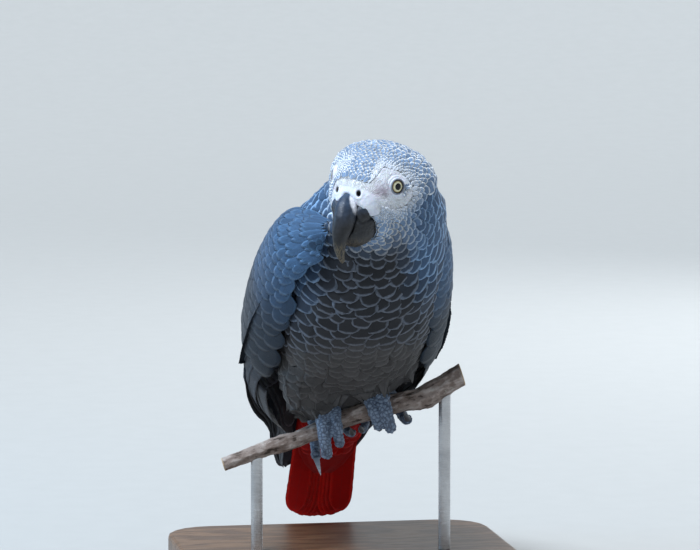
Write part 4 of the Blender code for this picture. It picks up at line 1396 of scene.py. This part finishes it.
def covert_rows(sheet, start, stop, first, growth, across, shift=0.0):
    """Small wing feathers, in staggered rows that follow the narrowing of the wing."""
    rows = []
    a = start
    odd = 0
    while a < stop:
        step = first + growth * (a - start)
        span = sheet.span(a)
        ahead = sheet.span(a + 6 * MM)
        behind = sheet.span(a - 6 * MM)
        if span and ahead:
            behind = behind or span
            width = step * across
            inset = 0.32 * width
            count = max(2, int(round((span[1] - span[0]) / (width * 0.72))) + 1)
            for k in range(count):
                q = (k + 0.5 * odd + 0.25 + RNG.normal(0, 0.05)) / count
                c = span[0] + inset + q * (span[1] - span[0] - 2 * inset)
                slope = ((ahead[0] - behind[0]) * (1 - q) + (ahead[1] - behind[1]) * q) / (12 * MM)
                rows.append({"a": a + RNG.normal(0, 0.1) * step, "c": c,
                             "turn": math.atan(np.clip(slope, -0.7, 0.7)) + RNG.normal(0, 0.05),
                             "length": step * 2.5 * RNG.uniform(0.95, 1.08), "width": width,
                             "low": -1.2 * MM + shift + 0.05 * MM * (k % 2),
                             "high": -0.25 * MM + shift + 0.1 * MM * (k % 2),
                             "thick": 0.22 * MM, "crown": 0.05 * width, "slant": 0.02 * width,
                             "tone": RNG.normal(0, 0.10), "shade": 0.0})
        a += step
        odd = 1 - odd
    return rows


def painted_wing_light(along):
    """Painted light and shade on the wing's colours at a distance (in mm) behind its bend: lighter and bluer
    near the bend, darker further back.
    """
    return np.stack([np.interp(along, [8, 38, 75], values) for values in WING_PAINTED_LIGHT], 1)


def sheet_facts(seats, palette, across_bake, place, painted_light=0.0):
    """Colours and OFBake places for feathers on a sheet; with the last argument at 1 the wing gets painted
    blue light near its bend and painted shade further back.
    """
    tone = np.exp(seats["tone"])[:, None]
    along = seats["a"] / MM
    light_factor = painted_wing_light(along) ** painted_light
    centre = np.array([palette[int(s)][0] for s in seats["shade"]]) * tone * light_factor
    rim = np.array([palette[int(s)][1] for s in seats["shade"]]) * np.sqrt(tone) * light_factor
    low = across_bake.low
    span = across_bake.size * across_bake.step
    u = (seats["a"] - low[0]) / span[0]
    v = (seats["c"] - low[1]) / span[1]
    bake = np.stack([place[0] + place[2] * u, place[1] + place[3] * v], 1)
    return {"width": seats["width"], "length": seats["length"], "seed": RNG.uniform(0, 90, len(u)),
            "centre": centre, "rim": rim, "bake": bake}


def wing_solids(frame, side):
    name = "left" if side > 0 else "right"
    return [frame["nodes"][f"wing_{name}_{part}"] for part in ("coverts", "secondaries", "primaries")]


def wing_sheet(frame, side):
    """The outer face of a folded wing, which runs on over the flank and the shoulder."""
    under = [frame["nodes"]["trunk"], frame["nodes"]["neck"]]
    return Sheet(wing_axes(side), wing_solids(frame, side), margin=16 * MM, under=under, wider=14 * MM)


def cover(coat, vane, sheet, seats, palette, place, sign=1.0, painted_light=0.0):
    """Lays one set of feathers on a sheet and adds them to a coat.
    place is the corner and the size of their part of the baked picture."""
    top, under = lay_on_sheet(vane, sheet, seats, sign)
    coat.add(vane, top, under, sheet_facts(seats, palette, sheet, place, painted_light))


def build_bed(name, nodes, inset, look, colour, slot):
    """The dull bed under the long feathers: their solids, set in a little, darkened by the bed look as
    painted shade.
    """
    bed = joined_copy(name, nodes, -inset)
    give_colours(bed, "marking", np.tile(np.array(colour), (len(bed.data.vertices), 1)))
    settle(bed, [look], slot)


def build_wing(frame, side, outer, material, bed):
    """Coverts, ten secondaries and nine primaries of one folded wing, seen from both sides."""
    name = "left" if side > 0 else "right"
    solids = wing_solids(frame, side)
    inner = Sheet(outer.axes, solids, from_top=False)
    palette = (WING, FLIGHT, PRIMARY)
    coverts = table_of(covert_rows(outer, *COVERTS, 3.5 * MM, 0.06, 1.5))
    end = inner.low[0] + inner.size[0] * inner.step - 7 * MM
    flights = []
    for sheet, sign in ((outer, 1.0), (inner, -1.0)):
        rows = []
        for k in range(PRIMARIES):
            q = (k + 0.5) / PRIMARIES
            tip = end - 2.5 * MM - 62 * MM * (k / (PRIMARIES - 1)) ** 1.35 - 4 * MM * (k == 0)
            rows.append(flight_feather(sheet, PRIMARY_ROOT, tip, q, k, 2, -1.5 if sign > 0 else -1.0))
        for k in range(SECONDARIES):
            q = (k + 0.5) / SECONDARIES
            tip = (148 + 12 * math.sin(math.pi * (0.15 + 0.7 * q))) * MM
            rows.append(flight_feather(sheet, SECONDARY_ROOT, tip, q, k, 1, -1.0 if sign > 0 else -0.6))
        flights.append((sheet, sign, table_of(rows)))
    under = table_of(covert_rows(inner, *UNDER_COVERTS, 4.0 * MM, 0.055, 1.8))
    coat = Coat(f"feathers_wing_{name}")
    small, long = Vane(7, 7), Vane(7, 25, True)
    # the coverts, outer and under, take the wing's painted light and shade along it (last argument 1.0)
    cover(coat, small, outer, coverts, palette, (0.02, 0.02, 0.94, 0.22), 1.0, 1.0)
    cover(coat, small, inner, under, palette, (0.02, 0.27, 0.94, 0.22), -1.0, 1.0)
    for number, (sheet, sign, seats) in enumerate(flights):
        cover(coat, long, sheet, seats, palette, (0.02, 0.52 + 0.24 * number, 0.94, 0.22), sign)
    coat.made(material, "feathers_grey", *[n.name for n in solids])
    build_bed(f"wing_bed_{name}", solids[1:], 2.2 * MM, bed, FLIGHT[0], "feathers_dark")


def flight_feather(sheet, root, tip, q, level, shade, base, rise=0.12):
    """A long feather at share q across the wing, from its root to its tip.
    Its shade counts into the palette; its level, and base and rise in mm, say how high it lies."""
    start = sheet.span(root)
    finish = sheet.span(tip - 4 * MM)
    squeeze = 0.06 + 0.88 * q
    c0 = start[0] + squeeze * (start[1] - start[0])
    c1 = finish[0] + (0.12 + 0.76 * q) * (finish[1] - finish[0])
    length = math.hypot(tip - root, c1 - c0)
    return {"a": root, "c": c0, "turn": math.atan2(c1 - c0, tip - root), "length": length,
            "width": 10.5 * MM, "low": (base - 0.6 + 0.35 * rise * level) * MM,
            "high": (base + 0.35 + rise * level) * MM,
            "thick": 0.35 * MM, "crown": 0.35 * MM, "slant": -0.55 * MM,
            "tone": RNG.normal(0, 0.06), "shade": float(shade)}


def build_tail(frame, material, bed):
    """Twelve red tail feathers, and the soft red coverts above and below their roots."""
    nodes = frame["nodes"]
    axes = tail_axes()
    upper = Sheet(axes, [nodes["tail"]])
    lower = Sheet(axes, [nodes["tail"]], from_top=False)
    middle = Sheet(axes, [nodes["tail"]])
    middle.heights = (upper.heights + lower.heights) / 2
    end = upper.low[0] + upper.size[0] * upper.step - 7 * MM
    rows = []
    middle_feather = (TAIL_FEATHERS - 1) / 2
    for k in range(TAIL_FEATHERS):
        place = (k - middle_feather) / middle_feather
        start = upper.span(8 * MM)
        full = upper.span(60 * MM)
        c0 = (start[0] + start[1]) / 2 + place * (start[1] - start[0]) * 0.36
        c1 = (full[0] + full[1]) / 2 + place * ((full[1] - full[0]) / 2 - 5.2 * MM)
        tip = end - 1.0 * MM - 5.0 * MM * abs(place) ** 2.2 - RNG.uniform(0, 1.2) * MM
        depth = -abs(k - middle_feather) * 0.20 * MM
        rows.append({"a": -4 * MM, "c": c0, "turn": math.atan2(c1 - c0, tip),
                     "length": tip + 4 * MM, "width": 12.5 * MM, "low": depth + 0.8 * MM,
                     "high": depth + 0.8 * MM, "thick": 0.45 * MM, "crown": 0.2 * MM,
                     "slant": 0.2 * MM * np.sign(place), "tone": RNG.normal(0, 0.10), "shade": 0.0})
    seats = table_of(rows)
    palette = (TAIL_RED,)
    long, small = Vane(9, 31, True), Vane(7, 9)
    coat = Coat("feathers_tail")
    cover(coat, long, middle, seats, palette, (0.02, 0.02, 0.94, 0.3))
    above = table_of(covert_rows(upper, -4 * MM, 24 * MM, 5.0 * MM, 0.03, 1.9, 0.6 * MM))
    cover(coat, small, upper, above, palette, (0.02, 0.35, 0.94, 0.3))
    under_sheet = Sheet(axes, [nodes["undertail_coverts"]], from_top=False)
    below = table_of(covert_rows(under_sheet, -10 * MM, 34 * MM, 4.0 * MM, 0.03, 1.7, -0.6 * MM))
    cover(coat, small, under_sheet, below, palette, (0.02, 0.68, 0.94, 0.3), -1.0)
    coat.made(material, "feathers_red", "tail", "undertail_coverts")
    build_bed("tail_bed", [nodes["undertail_coverts"]], 0.9 * MM, bed, TAIL_RED[0], "feathers_red")


# ---------------------------------------------------------------- horn and eyes
def add_lobes(horn, regions):
    """Two rounded shoulders at the root of the lower bill, one beside each edge of the upper bill."""
    mesh = bmesh.new()
    mesh.from_mesh(horn.data)
    across, ahead, up = BILL_LOBE
    middle = regions.bill_middle(up)
    for sign in (1, -1):
        made = bmesh.ops.create_icosphere(mesh, subdivisions=3, radius=1.0)
        for vert in made["verts"]:
            grown = np.array(vert.co) * BILL_LOBE_SIZE
            vert.co = regions.head.world(grown + (middle + sign * across, ahead, up))
    mesh.to_mesh(horn.data)
    mesh.free()


def build_bill(frame, regions):
    """Upper and lower bill: smooth horn with growth lines, a bloom at the base, a painted highlight on the
    tops of the lower bill's lobes and a worn tip.
    """
    look = bill_look()
    for name in ("bill_upper", "bill_lower"):
        node = frame["nodes"][name]
        horn = joined_copy(name + "_horn", [node], 0.12 * MM)
        if name == "bill_lower":
            add_lobes(horn, regions)
        remeshed(horn, HORN_VOXEL)
        relax(horn, 12)
        points = points_of(horn)
        relax(horn, 36, back=0.0)
        up = regions.head.own(points)[:, 2] / MM
        points = mixed(points, points_of(horn), smooth_step(-31, -24, up))
        set_points(horn, points)
        side, ahead, up = regions.head.own(points).T / MM
        growth = -up + 0.5 * np.abs(side)
        rough = np.array([noise.fractal(Vector(p) * 700, 0.9, 2.0, 3) for p in points.tolist()])
        across = np.abs(side - regions.bill_middle(up * MM) / MM)
        if name == "bill_lower":
            lobe_place, lobe_size = BILL_LOBE / MM, BILL_LOBE_SIZE / MM
            away = np.hypot((across - lobe_place[0]) / lobe_size[0], (up - lobe_place[2]) / lobe_size[2])
            lobe = smooth_step(1.15, 0.85, away) * (ahead > 12)
            crease = hill(away, 1.3, 0.16) * (ahead > 10)
            folds = np.sin(2.2 * side + 0.5 * up + 2.0 * rough) * smooth_step(-26, -15, up) * (1 - lobe)
            move = 0.05 * rough + 0.24 * folds * (1 - crease) + 0.25 * lobe - 0.55 * crease
            # on the lobes the bloom grows towards their top: painted highlight
            bloom, cere = 0.6 * lobe * smooth_step(-13, -7, up), 0 * up
        else:
            free = np.interp(-up, [1.4, 3.0, 5.5, 9.0, 13.0, 15.0], [0.1, 1.5, 3.0, 4.5, 5.6, 6.2])
            cere = smooth_step(-0.25, 0.25, across - free) * smooth_step(-15.2, -14.2, up)
            move = 0.05 * rough + 0.5 * cere * smooth_step(0, 1.2, across - free)
            bloom = 0.8 * smooth_step(-18, -2, up)
        set_points(horn, points + normals_of(horn) * (move * MM)[:, None])
        worn = smooth_step(-23, -29, up) if name == "bill_upper" else smooth_step(-21, -27, up) * 0.5
        give_numbers(horn, growth=growth, bloom=bloom, cere=cere, worn=worn)
        settle(horn, [look], "bill_horn", name)


def build_claws(frame):
    """Eight claws; the long hind claw that hangs free is paler, as in life."""
    dark = claw_look("claw_dark", (0.035, 0.038, 0.045), (0.06, 0.062, 0.068))
    pale = claw_look("claw_pale", (0.12, 0.16, 0.22), (0.42, 0.47, 0.55))
    for name in [n for n in frame["nodes"] if n.startswith("claw_")]:
        claw = joined_copy(name + "_horn", [frame["nodes"][name]], -0.25 * MM)
        remeshed(claw, 0.22 * MM)
        relax(claw, 6)
        points = points_of(claw)
        foot = frame["nodes"][name.replace("claw", "toe")]
        base = points_of(foot).mean(0)
        away = np.linalg.norm(points - base, axis=1)
        give_numbers(claw, reach=(away - away.min()) / (away.max() - away.min()))
        settle(claw, [pale if name == "claw_right_4" else dark], "claw_horn", name)


def build_eyes(regions):
    """Glossy eyeballs; the rings of colour are measured out from the pole."""
    look = eye_look()
    for (centre, pole, radius), name in zip(eye_directions(regions), ("eye_left", "eye_right")):
        ball = bmesh.new()
        bmesh.ops.create_uvsphere(ball, u_segments=64, v_segments=96, radius=1)
        obj = object_of(name + "_ball", ball)
        own = points_of(obj)
        first = unit(np.cross(pole, (0, 0, 1)))
        second = np.cross(pole, first)
        angle = np.arccos(np.clip(own[:, 2], -1, 1))
        limit = math.asin(EYE_OPENING * 0.93 / radius)
        bulge = 1 + 0.035 * np.exp(-(angle / (limit * 0.9)) ** 4)
        points = centre + (own @ np.array([first, second, pole])) * (radius * 0.985 * bulge)[:, None]
        set_points(obj, points)
        give_numbers(obj, ring=angle / limit)
        spin = np.arctan2(own[:, 1], own[:, 0])
        give_vectors(obj, "spoke", np.stack([np.cos(spin) * 9, np.sin(spin) * 9, angle * 6], 1))
        settle(obj, [look], "eye", name)


# ---------------------------------------------------------------- perch and stand
def build_perch(frame, regions):
    """The cut length of branch: ridged bark with cracks, bare rings at both ends."""
    node = frame["nodes"]["perch"]
    perch = joined_copy("perch_bark", [node], 0.0)
    remeshed(perch, 0.45 * MM)
    relax(perch, 4)
    points = points_of(perch)
    own = regions.perch.own(points)
    from_end = np.minimum(own[:, 0] - own[:, 0].min(), own[:, 0].max() - own[:, 0])
    cut = smooth_step(0.6 * MM, 0.3 * MM, from_end)
    turn = np.arctan2(own[:, 2], own[:, 1])
    relief = np.empty(len(points))
    for i, (t, angle) in enumerate(zip(own[:, 0].tolist(), turn.tolist())):
        ring = Vector((math.cos(angle) * 1.5, math.sin(angle) * 1.5, t * 95))
        relief[i] = noise.fractal(ring * 1.5, 0.8, 2.1, 5) + 0.35 * noise.noise(Vector((0, 3, t * 420)))
    relief = np.clip(0.5 + 0.55 * relief, 0, 1)
    move = (relief - 0.62) * 0.75 * MM * (1 - cut)
    set_points(perch, points + normals_of(perch) * move[:, None])
    give_numbers(perch, relief=relief, cut=cut, radius=np.hypot(own[:, 1], own[:, 2]))
    settle(perch, [bark_look()], "bark", "perch")


def dress_stand(frame):
    """The plain display stand keeps its solids: wooden base, brushed steel rods."""
    wood, steel = wood_look(), steel_look()
    for name, node in frame["nodes"].items():
        if name.startswith("stand_"):
            node.data.materials.clear()
            node.data.materials.append(steel if "rod" in name else wood)


# ---------------------------------------------------------------- stage, light, camera
def build_stage():
    """A wide pale floor whose far rim curves upward, so that no edge shows behind the bird."""
    rings = [(reach, 0.0) for reach in (0.3, 1.0, 1.8)]
    rings += [(2.4 + 4.0 * math.sin(turn), 4.0 * (1 - math.cos(turn))) for turn in np.linspace(0, 1.45, 24)]
    angles = np.linspace(0, 2 * math.pi, 96, endpoint=False)
    floor = bmesh.new()
    loops = [[floor.verts.new((reach * math.cos(t), reach * math.sin(t), rise)) for t in angles]
             for reach, rise in rings]
    floor.faces.new(loops[0])
    for inner, outer in zip(loops[:-1], loops[1:]):
        for k in range(len(angles)):
            floor.faces.new((inner[k - 1], outer[k - 1], outer[k], inner[k]))
    obj = object_of("floor", floor)
    shade_smooth(obj)
    look = Look("floor")
    grain = look.noise(look.place(), 60.0, 3.0)
    obj.data.materials.append(look.finish(look.mix(grain, (0.43, 0.43, 0.42), (0.46, 0.46, 0.45)), 0.85))


def aim_at(obj, place, aim):
    """Puts a lamp or the camera at a place and turns it towards another."""
    obj.location = place
    obj.rotation_euler = (aim - place).to_track_quat("-Z", "Y").to_euler()


def add_light(name, kind, place, size, power, colour):
    """A soft lamp that looks at the bird; the sun kind lights everything evenly from one side."""
    light = bpy.data.lights.new(name, kind)
    if kind == "SUN":
        light.angle = size
    else:
        light.shape = "DISK"
        light.size = size
    light.energy = power
    light.color = colour
    aim_at(placed(name, light), Vector(place), LAMP_AIM)


def build_lights():
    add_light("key", "SUN", (-0.50, -0.32, 1.60), math.radians(26), 4.3, (0.84, 0.92, 1.0))
    add_light("side", "AREA", (-0.9, 0.2, 0.50), 0.5, 3.2, (0.34, 0.66, 1.0))
    add_light("back", "AREA", (0.8, 1.0, 0.70), 0.8, 6.0, (0.92, 0.96, 1.0))
    world = bpy.data.worlds.new("studio")
    world.use_nodes = True
    sky = world.node_tree.nodes["Background"].inputs
    sky["Color"].default_value = (0.80, 0.86, 0.95, 1)
    sky["Strength"].default_value = 0.24
    bpy.context.scene.world = world
    bpy.context.scene.view_settings.view_transform = "Standard"


def build_camera():
    camera = bpy.data.cameras.new("camera")
    camera.lens = CAMERA_LENS
    camera.sensor_width = CAMERA_SENSOR
    obj = placed("camera", camera)
    away = Vector((math.sin(CAMERA_TURN) * math.cos(CAMERA_RISE),
                   -math.cos(CAMERA_TURN) * math.cos(CAMERA_RISE), math.sin(CAMERA_RISE)))
    aim = Vector(PERCH_MIDDLE) + Vector((0, 0, AIM_OVER_PERCH))
    aim_at(obj, aim + away * CAMERA_REACH, aim)
    bpy.context.scene.camera = obj


def main():
    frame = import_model()
    regions = Regions(frame)
    bed = bed_look("feather_bed", (0.03, 0.032, 0.036))
    red_bed = bed_look("red_feather_bed", (0.16, 0.001, 0.001))
    feather = feather_look("feather", 0.08, 0.22)
    red_feather = feather_look("red_feather", 0.0, 0.04)
    skin = build_skin(frame, regions)
    sheets = {side: wing_sheet(frame, side) for side in (1, -1)}
    build_body_coat(frame, regions, skin, sheets.values(), feather)
    looks = (bed, face_look(), foot_look())
    settle(skin, looks, "scaly_skin", *(regions.skin_names + regions.body_names))
    for side, sheet in sheets.items():
        build_wing(frame, side, sheet, feather, bed)
    build_tail(frame, red_feather, red_bed)
    build_bill(frame, regions)
    build_claws(frame)
    build_eyes(regions)
    build_perch(frame, regions)
    dress_stand(frame)
    build_stage()
    build_lights()
    build_camera()


main()
